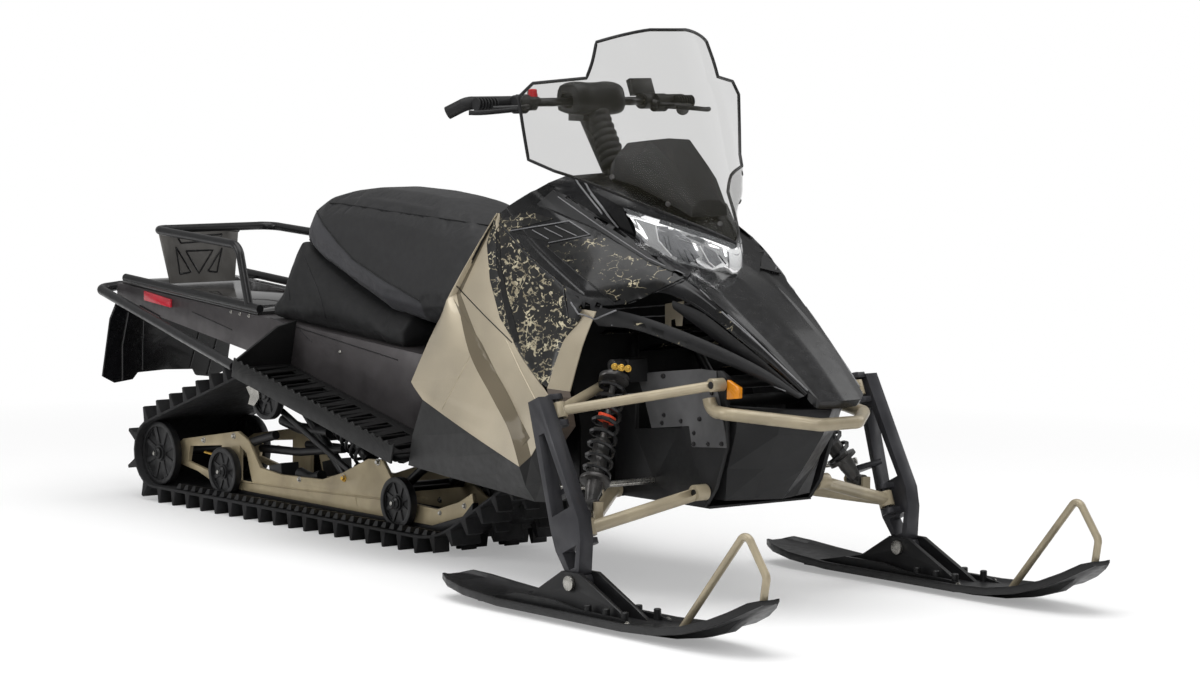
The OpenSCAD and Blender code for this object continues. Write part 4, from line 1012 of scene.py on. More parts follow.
@dataclass
class Bodywork:
    """Smooth skins of the nose, shoulders, side panels, inserts, bars and cowl."""

    thick: float = 3.0
    bar_thick: float = 14.0
    nose_rows: list = field(default_factory=lambda: [
        [RIDGE[1], (756, -162, 898), (852, -98, 838), (915, -48, 822), (950, 0, 815)],
        [RIDGE[2], (905, -137, 824), (985, -100, 786), (1020, -90, 766), (1042, 0, 758)],
        [RIDGE[3], (1058, -120, 742), (1112, -98, 712), (1128, -88, 698), (1150, 0, 690)],
        [RIDGE[4], (1218, -98, 636), (1243, -88, 624), (1250, -78, 612), (1262, 0, 608)],
        [RIDGE[5], (1338, -80, 546), (1346, -76, 540), (1349, -66, 530), (1356, 0, 530)],
        [(1322, -84, 536), (1330, -78, 524), (1336, -70, 516), (1338, -60, 512), (1342, 0, 510)]])
    bar_top: list = field(default_factory=lambda: [
        (772, -318.6, 735.2), (872, -244, 714), (1020, -166, 664), (1177, -110, 604), (1318, -88.4, 543.4)])
    bar_low: list = field(default_factory=lambda: [
        (776, -296, 684), (872, -250, 678), (1020, -174, 629), (1177, -115, 575), (1298, -90, 534)])
    insert_rear: list = field(default_factory=lambda: [
        (353.5, -281, 940.4), (363.5, -294.6, 832), (401.5, -311.7, 730), (505, -345.7, 618.5), (650, -380, 538)])
    insert_front: list = field(default_factory=lambda: [
        (376, -285, 927.5), (518, -312, 845.5), (751.5, -334, 733.5), (706, -352, 640), (690, -388, 528)])

    def make(self) -> "Carrier":
        """Builds the skins.

        Returns:
            The right-hand skins as a surface for trim.
        """
        made = [self.shoulders(), self.nose(), self.side_panels(), self.inserts(), self.bars(), self.cowl()]
        made.append(self.wedges())
        return Carrier(*made)

    def shoulders(self) -> bpy.types.Object:
        """Builds the shoulders with a folded lip along the lower edge."""
        top = [RIDGE[0], mix(RIDGE[0], RIDGE[1], 0.6) - Vector((0, 3, 0)),
               mix(RIDGE[1], RIDGE[2], 0.5) - Vector((0, 2, 0)),
               RIDGE[2], mix(RIDGE[2], RIDGE[3], 0.5), RIDGE[3], RIDGE[4], RIDGE[5]]
        top = smooth_line([Vector(p) - Vector((0, 0.9, 0.9)) for p in top], 8)
        low = smooth_line(SHOULDER_LOW, 8, (2,))
        count = len(top)
        rows = []
        for k in range(37):
            f = k / 36
            row = []
            for j in range(count):
                u = 7 * j / (count - 1)
                bow = 1 if u < 4 else max(0.25, 1 - 0.75 * (u - 4))
                step = 5 * min(1, max(0, (f - 0.22) / 0.05)) * min(1, max(0, (0.85 - f) / 0.05))
                row.append(mix(top[j], low[j], f) - Vector((0, bow * (26 * f * (1 - f) + step), 0)))
            rows.append(row)
        shape = Shape()
        shape.skin(rows, self.thick)
        shape.mirrored()
        return shape.piece("shoulder_skins", [Finishes.GLOSS], crease=24, replaces=["shoulder_panels"])

    def nose(self) -> bpy.types.Object:
        """Builds the nose with its folds from the ridges inwards."""
        rows = [whole(r) for r in self.nose_rows]
        shape = Shape()
        shape.skin(smooth_grid(rows, 4, 8, (4,), range(9)), self.thick)
        return shape.piece("nose_skin", [Finishes.GLOSS], crease=16, replaces=["nose"])

    def side_panels(self) -> bpy.types.Object:
        """Builds the faceted side panels: rear facet, lower facet, dark fold in tan with painted shade, and front
        facet.
        """
        rear, fold = smooth_line(SIDE_REAR, 6, (4, 5)), smooth_line(SIDE_FOLD, 6, (2,))
        step, front = smooth_line(SIDE_STEP, 6, (2,)), smooth_line(SIDE_FRONT, 6, (4, 5))
        shape = Shape()
        knee = 21
        upper, lower = [], []
        for i in range(25):
            a, b = rear[i], fold[round(i * knee / 24)]
            bow = 12 * math.sin(math.pi * i / 24) + 3
            upper.append([mix(a, b, k / 8) - Vector((0, bow * math.sin(math.pi * k / 8), 0)) for k in range(9)])
        for i in range(13):
            a, b = rear[24 + i], fold[min(36, knee + round(i * 15 / 12))]
            if i == 0:
                lower.append(upper[-1])
                continue
            bow = 5
            lower.append([mix(a, b, k / 8) - Vector((0, bow * math.sin(math.pi * k / 8), 0)) for k in range(9)])
        # The panels' inner sides are shaded black: painted shade.
        shape.skin(upper, self.thick, 0, back=2)
        shape.skin(lower, self.thick, 0, back=2)
        # The fold strip takes the darker tan as painted shade.
        shape.skin([[mix(a, b, k / 3) for k in range(4)] for a, b in zip(fold, step)], self.thick, 1, back=2)
        shape.skin([[mix(a, b, k / 8) - Vector((0, 4 * math.sin(math.pi * k / 8), 0)) for k in range(9)]
                    for a, b in zip(step, front)], self.thick, 0, back=2)
        shape.mirrored()
        return shape.piece("side_skins", [Finishes.TAN, Finishes.FOLD, Finishes.DEEP], crease=14,
                           replaces=["side_panels"])

    def inserts(self) -> bpy.types.Object:
        """Builds the printed inserts in front of the side panels."""
        rows = [[mix(a, b, f) - Vector((0, 6 * math.sin(math.pi * i / 4) if 0.05 < f < 0.95 else 0, 0))
                 for f in (0, 0.12, 0.5, 0.88, 1)]
                for i, (a, b) in enumerate(zip(self.insert_rear, self.insert_front))]
        shape = Shape()
        # The inserts' inner side is shaded black: painted shade.
        shape.skin(smooth_grid(rows, 5, 8), self.thick, back=1)
        shape.mirrored()
        return shape.piece("insert_skins", [Finishes.CAMO, Finishes.DEEP], crease=30, replaces=["side_inserts"])

    def bars(self) -> bpy.types.Object:
        """Builds the bars that frame the intakes."""
        top, low = smooth_line(self.bar_top, 8), smooth_line(self.bar_low, 8)
        rows = [[mix(a, b, f) - Vector((0, 24 * f * (1 - f), 0)) for a, b in zip(top, low)]
                for f in (0, 0.15, 0.3, 0.45, 0.6, 0.8, 1)]
        shape = Shape()
        shape.skin(rows, self.bar_thick)
        shape.mirrored()
        return shape.piece("bar_skins", [Finishes.SATIN], crease=30, replaces=["side_blades"])

    def wedges(self) -> bpy.types.Object:
        """Builds the wedges between the shoulders' lower edge and the bars."""
        drops = [(940, -192, 756, 8, 22), (1012, -160, 730, 14, 46), (1095, -137, 681, 16, 46),
                 (1178, -113, 628, 12, 28),
                 (1300, -92, 554, 4, 3)]
        rows = [[Vector((x - 0.3 * d * f, y + inset * f - 14 * f * (1 - f), z - 2 - d * f))
                 for x, y, z, inset, d in drops]
                for f in (0, 0.1, 0.35, 0.7, 1)]
        shape = Shape()
        shape.skin(smooth_grid(rows, 6, 3), 2.0)
        shape.mirrored()
        return shape.piece("blade_wedges", [Finishes.SATIN], crease=30)

    def cowl(self) -> bpy.types.Object:
        """Builds the cowl under the screen."""
        rows = [whole([RIDGE[0], (474, -168, 1040), (500, -100, 1046), (515, -50, 1049), (530, 0, 1050)]),
                whole([mix(RIDGE[0], RIDGE[1], 0.5), (600, -178, 1010), (660, -100, 1018), (690, -50, 1016),
                       (720, 0, 1010)]),
                whole([RIDGE[1]] + LAMP_TOP)]
        shape = Shape()
        shape.skin(smooth_grid([[Vector(p) for p in r] for r in rows], 4, 8, (), (1, 7)), self.thick)
        for side in (1, -1):
            corner, high, low = (Vector((p[0], side * p[1], p[2])) for p in (RIDGE[1], LAMP_TOP[0], LAMP_LOW[0]))
            shape.skin([[mix(corner, mix(high, low, k / 6), 0.02 + 0.98 * j / 6) for j in range(7)]
                        for k in range(7)], self.thick)
        return shape.piece("cowl_skin", [Finishes.GLOSS], crease=24, replaces=["cowl"])


@dataclass
class Headlamp:
    """Clear lens over chrome dishes in a dark housing."""

    bulge: float = 16.0
    lens: float = 3.0
    housing: float = 26.0
    # Patches on the dishes by finish index: painted shade (0), shaded black slots (1), painted highlight (2).
    shades: list = field(default_factory=lambda: [
        ([(657, 226), (672, 227), (690, 240), (700, 257), (689, 263), (671, 255), (659, 240)], 0),
        ([(704, 246), (716, 252), (722, 263), (712, 268), (702, 260)], 0),
        ([(680, 224), (692, 229), (708, 240), (703, 244), (685, 236)], 1),
        ([(626, 216), (632, 222), (646, 243), (640, 241), (629, 229)], 0),
        ([(729, 254), (743, 245), (748, 261), (735, 271), (728, 267)], 2)])
    # Lines on the dishes by finish index: painted shade (0), shaded black (1), painted highlight (2), chrome (3).
    rails: list = field(default_factory=lambda: [
        ([(636, 210), (678, 223), (708, 237), (730, 248)], 2.2, 2), ([(641, 215), (676, 228)], 1.4, 0),
        ([(678, 238), (697, 245), (712, 243)], 1.8, 3), ([(656, 226), (659, 241), (672, 256)], 1.6, 2),
        ([(700, 246), (709, 262), (716, 268)], 1.4, 2), ([(684, 250), (690, 262)], 1.0, 1),
        ([(678, 250), (684, 261)], 1.0, 1), ([(691, 253), (697, 263)], 1.0, 1), ([(664, 236), (667, 248)], 0.9, 1),
        ([(668, 236), (671, 250)], 0.9, 1), ([(719, 255), (726, 264)], 1.2, 1), ([(728, 252), (729, 268)], 1.4, 0)])

    def surface(self, inset: float, along: int = 10, across: int = 8) -> list[list[Vector]]:
        """Samples the lens surface.

        Args:
            inset: distance behind the outer side.
            along: pieces between two stations.
            across: pieces from top to bottom.

        Returns:
            Rows of points from top to bottom.
        """
        top, low = smooth_line(whole(LAMP_TOP), along), smooth_line(whole(LAMP_LOW), along)
        rows = []
        for i in range(across + 1):
            f = 0.008 + 0.984 * i / across
            row = [mix(a, b, f) + Vector((4 * self.bulge * f * (1 - f), 0, 0)) for a, b in zip(top, low)]
            rows.append([p + inset * core_way(p) for p in row])
        return rows

    def make(self) -> None:
        """Builds the lens and what shows through it."""
        shape = Shape()
        shape.skin(self.surface(0), self.lens)
        shape.piece("lamp_lens", [Finishes.CLEAR], crease=40, replaces=["headlamp"])
        self.dishes()

    def dishes(self) -> None:
        """Builds the chrome dishes, the dark backing and the details inside the lamp."""
        along, across = 12, 24
        front = self.surface(self.lens + 1.0, along, across)
        columns = len(front[0])
        rows = []
        for i, row in enumerate(front):
            v = i / across
            line = []
            for j, p in enumerate(row):
                u = 6 * j / (columns - 1)
                cell = (u * 0.84) % 1.0 - 0.5
                dish = max(0.0, 1 - (2 * cell) ** 2) * max(0.0, 1 - ((v - 0.56) / 0.42) ** 2)
                brow = 0.25 if v < 0.2 else 0.0
                rib = 0.05 * math.sin(u * 60) if v > 0.5 else 0.0
                line.append(p + (self.housing * (0.12 + 0.7 * dish + brow + rib)) * core_way(p))
            rows.append(line)
        shape = Shape()
        shape.skin(rows, 1.0)
        bowl = shape.piece("lamp_dishes", [Finishes.CHROME], crease=40)
        self.details(Carrier(bowl))
        back = Shape()
        top = [p + 34 * core_way(p) for p in (Vector(q) for q in whole([RIDGE[1]] + LAMP_TOP))]
        low = [p + 34 * core_way(p) for p in (Vector(q) for q in whole([RIDGE[1]] + LAMP_LOW))]
        back.skin([top, [mix(a, b, 0.5) for a, b in zip(top, low)], low], 2.0)
        back.piece("lamp_backing", [Finishes.DEEP])

    def details(self, bowl: Carrier) -> None:
        """Lays reflector patches of painted shade, slots, rails and the end prism, a painted highlight in white,
        behind the lens.

        Args:
            bowl: surface of the dishes.
        """
        shape = Shape()
        for pixels, paint in self.shades:
            bowl.patch(shape, pixels, 1.2, paint, paint)
        for pixels, radius, paint in self.rails:
            path = bowl.line(pixels, 2.5, 8)
            if len(path) > 3:
                shape.tube(path, radius, 8, paint)
        shape.mirrored()
        shape.piece("lamp_details", [Finishes.DISH, Finishes.DEEP, Finishes.WHITE, Finishes.CHROME], crease=40)


@dataclass
class Screen:
    """Tinted screen with a black edge bead and screws along its foot."""

    thick: float = 4.0
    top: float = 1420.0
    bead: float = 4.2
    rows: list = field(default_factory=lambda: [
        (1420, 1384, 184, 0, 0), (1345, 1335, 202, 0, 0), (1296, 1294, 219, 0.05, 0), (1285, 1280, 332, 0.05, 28),
        (1215, 1245, 366, 0.08, 34), (1120, 1170, 360, 0.16, 14), (1010, 1089, 352, 0.3, 0),
        (965, 1062, 312, 0.5, 28),
        (928, 1040, 250, 0.8, 16), (890, 1003, 180, 0.95, 0)])
    screws: list = field(default_factory=lambda: [(612, 177), (668, 204), (720, 224)])

    def point(self, row: Sequence[float], f: float) -> Vector:
        """Returns a point of the screen.

        Args:
            row: heights at the middle and the edge, half width, sharpness of the bow, push forward at the edge.
            f: place across, from -1 to 1.

        Returns:
            The point in millimetres.
        """
        mid, edge, half, sharp, push = row
        h = half * f
        share = f * f * (1 - sharp) + abs(f) * sharp
        z = mid + (edge - mid) * share
        a = abs(h)
        wide = 0.0026 * a * a if a < 200 else 104 + 0.95 * (a - 200)
        keen = math.sqrt(1.56 * a * a + 1600) - 40
        drop = wide * (1 - sharp) + keen * sharp - push * f * f
        return Vector((949 + self.thick + 0.5 - 0.5 * (z - 890) - drop, h, z))

    def make(self) -> None:
        """Builds the screen, its bead and its screws."""
        columns = [smooth_line([self.point(r, k / 12) for r in self.rows], 5, (2, 3, 4, 6, 7))
                   for k in range(-12, 13)]
        grid = [[c[i] for c in columns] for i in range(len(columns[0]))]
        shape = Shape()
        shape.skin(grid, self.thick, 0, lambda p: Vector((-1, 0, 0)))
        sheet = shape.piece("screen_sheet", [Finishes.SCREEN], crease=60, replaces=["windshield"])
        shift = Vector((-self.thick / 2, 0, 0))
        rim = [p + shift for p in grid[0]] + [r[-1] + shift for r in grid[1:]]
        rim += [p + shift for p in grid[-1][-2::-1]] + [r[0] + shift for r in grid[-2:0:-1]]
        low = min(p.z for p in grid[-1])
        trim = Shape()
        inner = [Vector((p.x, p.y * (1 - self.bead / max(60, abs(p.y)) * 0.6), min(p.z, self.top - self.bead)))
                 for p in rim]
        trim.tube(inner, self.bead, 8, 0, True)
        carrier = Carrier(sheet)
        for found in filter(None, map(carrier.hit, self.screws)):
            for side in (-1, 1):
                p, ahead = (Vector((v.x, v.y * side, v.z)) for v in found)
                trim.turned([(7, 0), (7, 1.5), (5.5, 3.2), (2.5, 3.4)], p, ahead, 16, 1)
        trim.piece("screen_bead", [Finishes.PLASTIC, Finishes.DAMPER], crease=40)
        LOG.info("screen foot at %.0f mm", low)


@dataclass
class Seat:
    """Soft seat with a lighter band, and the bag behind it."""

    voxel: float = 0.006
    cap: float = 0.008
    band: list = field(default_factory=lambda: [
        (314.8, 202), (318, 214), (323, 224), (338, 243), (353, 259.5), (385, 281), (419, 300.6), (427, 320),
        (405, 324),
        (366, 293), (328.6, 262), (316, 250), (309, 237.6), (304, 226), (302.5, 213)])

    def puff(self, obj: bpy.types.Object, pressure: float) -> None:
        """Swells a cushion with a cloth run and keeps the result.

        Args:
            obj: the cushion.
            pressure: pressure inside.
        """
        remesh = obj.modifiers.new("even", "REMESH")
        remesh.mode = "VOXEL"
        remesh.voxel_size = self.voxel
        self.apply(obj)
        smooth = obj.modifiers.new("smooth", "SMOOTH")
        smooth.iterations = 14
        smooth.factor = 0.5
        self.apply(obj)
        start = [v.co.copy() for v in obj.data.vertices]
        cloth = obj.modifiers.new("cloth", "CLOTH")
        cloth.settings.use_pressure = True
        cloth.settings.uniform_pressure_force = pressure
        cloth.settings.effector_weights.gravity = 0
        cloth.settings.tension_stiffness = 30
        cloth.settings.quality = 4
        cloth.collision_settings.use_collision = False
        scene = bpy.context.scene
        for f in range(1, 17):
            scene.frame_set(f)
        self.apply(obj)
        scene.frame_set(1)
        for v, p in zip(obj.data.vertices, start):
            d = v.co - p
            if d.length > self.cap:
                v.co = p + d.normalized() * self.cap

    @staticmethod
    def apply(obj: bpy.types.Object) -> None:
        """Bakes an object's modifiers into its mesh."""
        graph = bpy.context.evaluated_depsgraph_get()
        made = bpy.data.meshes.new_from_object(obj.evaluated_get(graph))
        obj.modifiers.clear()
        obj.data = made

    def soft_copy(self, node: str, name: str, finishes: Sequence[Finish], shrink: float,
                  pressure: float) -> bpy.types.Object:
        """Makes a soft piece in the place of a solid.

        Args:
            node: the solid.
            name: the piece's name.
            finishes: its finishes.
            shrink: how far it starts inside the solid, in metres.
            pressure: pressure inside.

        Returns:
            The soft piece.
        """
        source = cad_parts[node]
        obj = bpy.data.objects.new(name, source.data.copy())
        bpy.context.scene.collection.objects.link(obj)
        bm = bmesh.new()
        bm.from_mesh(obj.data)
        bmesh.ops.remove_doubles(bm, verts=bm.verts[:], dist=0.0001)
        bm.normal_update()
        for v in bm.verts:
            v.co -= v.normal * shrink
        bm.to_mesh(obj.data)
        bm.free()
        obj.data.materials.clear()
        self.puff(obj, pressure)
        obj.data.materials.clear()
        for f in finishes:
            obj.data.materials.append(f.material())
        obj.data.shade_smooth()
        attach(obj, Body.CHASSIS.value)
        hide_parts(node)
        LOG.info("%s: %d faces", name, len(obj.data.polygons))
        return obj

    def make(self) -> None:
        """Builds the seat, paints its band, sews its seams and adds the bag."""
        seat = self.soft_copy("seat_cushion", "seat_cover", [Finishes.SEAT, Finishes.BAND], 0.002, 3.0)
        for f in seat.data.polygons:
            c = f.center / MM
            if f.normal.y * c.y > 0 and inside(CAMERA.seen(Vector((c.x, -abs(c.y), c.z))), self.band):
                f.material_index = 1
        bag = self.soft_copy("seat_base", "seat_bag", [Finishes.BAG], 0.002, 2.0)
        self.seams(Carrier(seat), Carrier(bag))

    def seams(self, seat: Carrier, bag: Carrier) -> None:
        """Sews the piping along the band and over the bag.

        Args:
            seat: the seat's surface.
            bag: the bag's surface.
        """
        shape = Shape()
        upper = [(314.8, 202), (318, 214), (323, 224), (338, 243), (353, 259.5), (385, 281), (419, 300.6)]
        lower = [(302.5, 213), (304, 226), (309, 237.6), (316, 250), (328.6, 262), (366, 293), (405, 324)]
        ridge = [(314.8, 202), (345, 204), (390, 211), (440, 218), (492, 226)]
        for pixels in (upper, lower, ridge):
            path = seat.line(pixels, 1.0, 8)
            if len(path) > 3:
                shape.tube(smooth_line(path[::2] + [path[-1]], 2), 1.8, 8)
        folds = [[(278, 246), (286, 268), (290, 300)], [(297, 240), (318, 290), (326, 318)]]
        for pixels in folds:
            path = bag.line(pixels, 0.4, 8)
            if len(path) > 3:
                shape.tube(path, 1.4, 8)
        shape.mirrored()
        shape.piece("seat_seams", [Finishes.PIPING], crease=60)


@dataclass
class HoodTrim:
    """Ridge bands, printed panels, vents, lips and fins on the shoulders and bars."""

    skins: Carrier
    ridge: list = field(default_factory=lambda: [
        (556, 189), (603, 219), (651, 256), (692, 273), (687, 279), (648, 262), (596, 229), (538, 205)])
    panel: list = field(default_factory=lambda: [
        (546, 246), (574, 241), (602, 238), (630, 249), (655, 262), (684, 278), (643, 297), (619, 306), (582, 276)])
    print_top: list = field(default_factory=lambda: [(501, 219), (528, 212), (554, 219), (511, 230)])
    vent: list = field(default_factory=lambda: [(512, 232), (569, 223), (588, 235), (549, 242)])
    slats: list = field(default_factory=lambda: [
        [(533, 230.5), (549, 239.5)], [(545, 228.5), (563, 237.5)], [(556, 226.5), (577, 236.5)]])
    lip: list = field(default_factory=lambda: [
        (567, 287), (584, 297), (602, 305), (618, 311), (606, 317), (592, 322), (571, 318)])
    fins: list = field(default_factory=lambda: [
        [(576, 181), (603, 214)], [(583, 182), (611, 218)], [(592, 195), (619, 228)]])
    prints: list = field(default_factory=lambda: [
        [(633, 321), (645, 324), (648, 335), (636, 331)], [(652, 327), (664, 331), (663, 345), (651, 341)],
        [(677, 339), (688, 342), (684, 352), (674, 349)],
        [(716, 309), (724, 313), (742, 331), (736, 335), (719, 324)]])

    def make(self) -> None:
        """Lays all trim on the skins."""
        self.panels()
        self.lines()

    def panels(self) -> None:
        """Lays the raised bands, prints, vents and lips."""
        shape = Shape()
        self.skins.patch(shape, self.ridge, 5.0, 0, 2)
        self.skins.patch(shape, self.panel, 3.0, 1, 2)
        self.skins.patch(shape, self.print_top, 1.2, 1, 2)
        # The vent is laid in shaded black: painted shade inside it.
        self.skins.patch(shape, self.vent, 1.0, 3, 3)
        self.skins.patch(shape, self.lip, 7.0, 0, 2)
        for outline in self.prints:
            self.skins.patch(shape, outline, 0.6, 1, 1)
        shape.mirrored()
        shape.piece("hood_panels", [Finishes.SATIN, Finishes.THIN, Finishes.GLOSS, Finishes.DEEP], crease=35)

    def lines(self) -> None:
        """Lays the slats, fins and edges as thin lines in painted highlight grey, and the dark seams."""
        shape = Shape()
        # Light grey tubes along the edges: painted highlight lines.
        edges = [([(559, 198), (600, 227), (648, 259), (684, 276)], 1.5, 5.0),
                 ([(511, 231), (569, 221.5), (590, 235)], 1.7, 2.0), ([(590, 235), (549, 243)], 1.4, 1.5),
                 ([(573, 303), (580, 314), (593, 319), (617, 311)], 2.2, 7.5),
                 ([(722, 312), (760, 345), (808, 391)], 2.2, 1.0), ([(612, 325), (700, 357), (786, 391)], 1.6, 1.0),
                 ([(700, 290), (745, 330), (800, 384)], 1.6, 0.6)]
        for pixels, radius, lift in edges + [(s, 1.3, 3.0) for s in self.slats] + [(f, 2.4, 5.0) for f in self.fins]:
            path = self.skins.line(pixels, lift, 8)
            if len(path) > 3:
                shape.tube(path, radius, 8)
        folds = [([(500, 223), (530, 258), (563, 287), (569, 318)], 3.0, 1.0),
                 ([(546, 246), (582, 277), (619, 307)], 1.6, 1.0),
                 ([(619, 307), (643, 298), (688, 279)], 1.6, 1.0)]
        for pixels, radius, lift in folds:
            path = self.skins.line(pixels, lift, 10)
            if len(path) > 3:
                shape.tube(path, radius, 8, 1)
        shape.mirrored()
        shape.piece("hood_lines", [Finishes.EDGE, Finishes.GLOSS], crease=60)


@dataclass
class SideTrim:
    """Slit, strip, seams, fold and inner flank of the side panels."""

    skins: Carrier
    slit: list = field(default_factory=lambda: [
        (499, 226), (501, 262), (508, 297), (520, 341), (514, 343), (504, 305), (496, 264), (496, 230)])
    strip: list = field(default_factory=lambda: [
        (495, 214), (496, 230), (496, 264), (504, 305), (513, 340), (500, 318), (490, 280), (487, 244)])
    fold: list = field(default_factory=lambda: [
        (453.8, 299), (468, 322), (481.5, 342.8), (504, 388), (530, 438), (522.4, 446), (498, 399), (474.6, 351)])
    seams: list = field(default_factory=lambda: [[(456.5, 286), (485, 316), (512, 342.6)],
                                                 [(437.5, 417), (470, 356)]])
    edges: list = field(default_factory=lambda: [[(506, 340), (520, 370), (536, 401)]])

    def make(self) -> None:
        """Lays the trim and adds the flank behind the panel's front edge."""
        shape = Shape()
        # The slit is laid in shaded black: painted shade in the gap.
        self.skins.patch(shape, self.slit, 0.8, 0, 0)
        self.skins.patch(shape, self.strip, 0.8, 1, 1)
        # The fold patch is tan darkened as painted shade.
        self.skins.patch(shape, self.fold, 0.7, 2, 2)
        for pixels in self.seams[:1]:
            shape.tube(self.skins.line(pixels, 0.2, 8), 1.4, 8, 0)
        for pixels in self.edges + self.seams[1:]:
            shape.tube(self.skins.line(pixels, 0.0, 8), 1.6, 8, 3)
        shape.mirrored()
        shape.piece("side_trim", [Finishes.DEEP, Finishes.PALE, Finishes.FOLD, Finishes.TAN], crease=40)
        self.flank()

    def flank(self) -> None:
        """Builds the tan return of the panel under the insert, and its lower part in darker tan as painted shadow.
        """
        shape = Shape()
        upper = [[(752, -333, 726), (706, -352, 640), (690, -388, 526)],
                 [(792, -316, 722), (752, -326, 634), (736, -352, 520)]]
        shape.skin(smooth_grid([[Vector(p) for p in r] for r in upper], 6, 2), 2.5, 0,
                   lambda p: Vector((0, 1, 0)))
        # The lower flank takes the dark tan as painted shadow.
        lower = [[(690, -388, 526), (708, -399, 510), (731, -401, 438), (640, -398, 350)],
                 [(736, -352, 520), (746, -356, 505), (760, -352, 436), (668, -352, 346)]]
        shape.skin(smooth_grid([[Vector(p) for p in r] for r in lower], 6, 2, (), (1, 2)), 2.5, 1,
                   lambda p: Vector((-0.5, 0.8, 0)))
        shape.mirrored()
        shape.piece("side_returns", [Finishes.TAN, Finishes.SHADE], crease=30)


@dataclass
class Bay:
    """Dark wall inside the engine bay as painted shade, and small shields in it."""

    wall: list = field(default_factory=lambda: [
        (-286, 700), (-190, 890), (190, 890), (286, 700), (300, 560), (262, 420), (262, 262), (-262, 262),
        (-262, 420), (-300, 560)])
    shield: list = field(default_factory=lambda: [(665, 304), (684, 301), (682, 326), (676, 326), (675, 319),
                                                  (671, 320),
                                                  (671, 327), (665, 328)])

    def make(self) -> None:
        """Adds the wall behind the intakes as painted shade in black, and the tan shields in them."""
        # A black sheet across the bay: painted shade.
        shape = Shape()
        shape.solid([(664, y, z) for y, z in self.wall], [(670, y, z) for y, z in self.wall])
        shape.piece("bay_shade_sheet", [Finishes.DEEP])
        shields = Shape()
        front = [CAMERA.at(q, 1, -150) for q in self.shield]
        shields.solid(front, [q + Vector((-3, 4, 0)) for q in front])
        shields.mirrored()
        shields.piece("bay_shields", [Finishes.TAN, Finishes.GREY])


@dataclass
class Fittings:
    """Bolts, nuts and rings at the places where the photograph shows them."""

    skid_bolts: list = field(default_factory=lambda: [
        (204, 440, 9), (234, 436, 9), (209.5, 451, 7), (255.6, 442.8, 9), (299.5, 479.3, 8), (300, 490, 7),
        (344, 477, 10),
        (378, 462, 10), (440, 500, 8), (440, 513, 7), (464.5, 506, 8)])
    plate_bolts: list = field(default_factory=lambda: [
        (664, 376, 9), (664, 415, 8), (700, 419, 8), (713, 393, 9), (694, 444, 8), (709, 444, 8), (722, 444, 8)])

    def make(self) -> None:
        """Adds the fittings of the chassis."""
        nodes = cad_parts
        shape = Shape()
        self.put(shape, Carrier(nodes["skid_rails"]), self.skid_bolts, Vector((0, -1, 0)), 0)
        self.put(shape, Carrier(nodes["bulkhead"]), self.plate_bolts, None, 1)
        shape.mirrored()
        shape.piece("chassis_bolts", [Finishes.STEEL, Finishes.SHEET, Finishes.BRASS], crease=30)

    @staticmethod
    def put(shape: Shape, carrier: Carrier, places: Sequence[tuple[float, float, float]], way: Optional[Vector],
            paint: int) -> None:
        """Sets bolts on a surface.

        Args:
            shape: takes the bolts.
            carrier: the surface.
            places: picture places with the washer's radius in millimetres.
            way: direction that they stand out, or None for the surface's own.
            paint: finish index.
        """
        for x, y, size in places:
            found = carrier.hit((x, y))
            if found:
                shape.bolt(found[0], way or found[1], size, paint)


@dataclass
class Controls:
    """Padded centre, boot, switch and levers of the handlebar, which turn with it."""

    def make(self) -> None:
        """Adds the pieces that ride on the bar."""
        shape = Shape()
        shape.skin(smooth_grid(self.pad(), 3, 3, (), ()), 3.0, 0,
                   lambda p: (Vector((372, p.y * 0.8, 1222)) - p).normalized())
        shape.piece("bar_cover", [Finishes.SATIN], Body.BAR, crease=30)
        boot = Shape()
        low, high = Vector((470, 0, 1062)), Vector((384, 0, 1218))
        path = [mix(low, high, k / 36) for k in range(37)]
        boot.tube(path, [31 + 5 * abs(math.sin(k * math.pi / 4)) - 6 * k / 36 for k in range(37)], 20)
        boot.piece("bar_boot", [Finishes.GRIP], Body.BAR, crease=60)
        small = Shape()
        small.turned([(13, 0), (13, 8), (11, 16), (11, 22), (7, 24)], (362, -186, 1236), (0, 0, 1), 20, 0)
        small.turned([(22, 0), (22, 12), (16, 18)], (362, -186, 1222), (0, 0, 1), 20, 1)
        for side in (-1, 1):
            lever = [(372, 228, 1212), (398, 262, 1210), (404, 320, 1206), (390, 372, 1202), (372, 398, 1202)]
            small.tube(smooth_line([(x, side * y, z) for x, y, z in lever], 6), 6.5, 10, 1)
            small.turned([(24, 0), (24, 34), (20, 38)], (366, side * 214, 1221), (0, side, 0), 20, 1)
        for side in (-1, 1):
            for k in range(7):
                small.turned([(17.5, 0), (17.5, 2.5), (16.5, 3.5)], (353 - k * 1.0, side * (300 + 9 * k), 1222),
                             (0, side, 0), 20, 1)
        small.piece("bar_switches", [Finishes.RED_CAP, Finishes.GRIP], Body.BAR, crease=35)

    @staticmethod
    def pad() -> list[list[Vector]]:
        """Returns rings of points round the padded centre, from one end to the other."""
        half = [(82, 0.5), (76, 0.86), (52, 1.0), (20, 0.96)]
        stations = [(-y, grow) for y, grow in half] + half[::-1]
        outline = [(-50, -26), (-58, 6), (-46, 44), (6, 52), (40, 40), (52, -2), (38, -30), (-8, -34), (-50, -26)]
        return [[Vector((372 + grow * a, y, 1226 + grow * b)) for a, b in outline] for y, grow in stations]


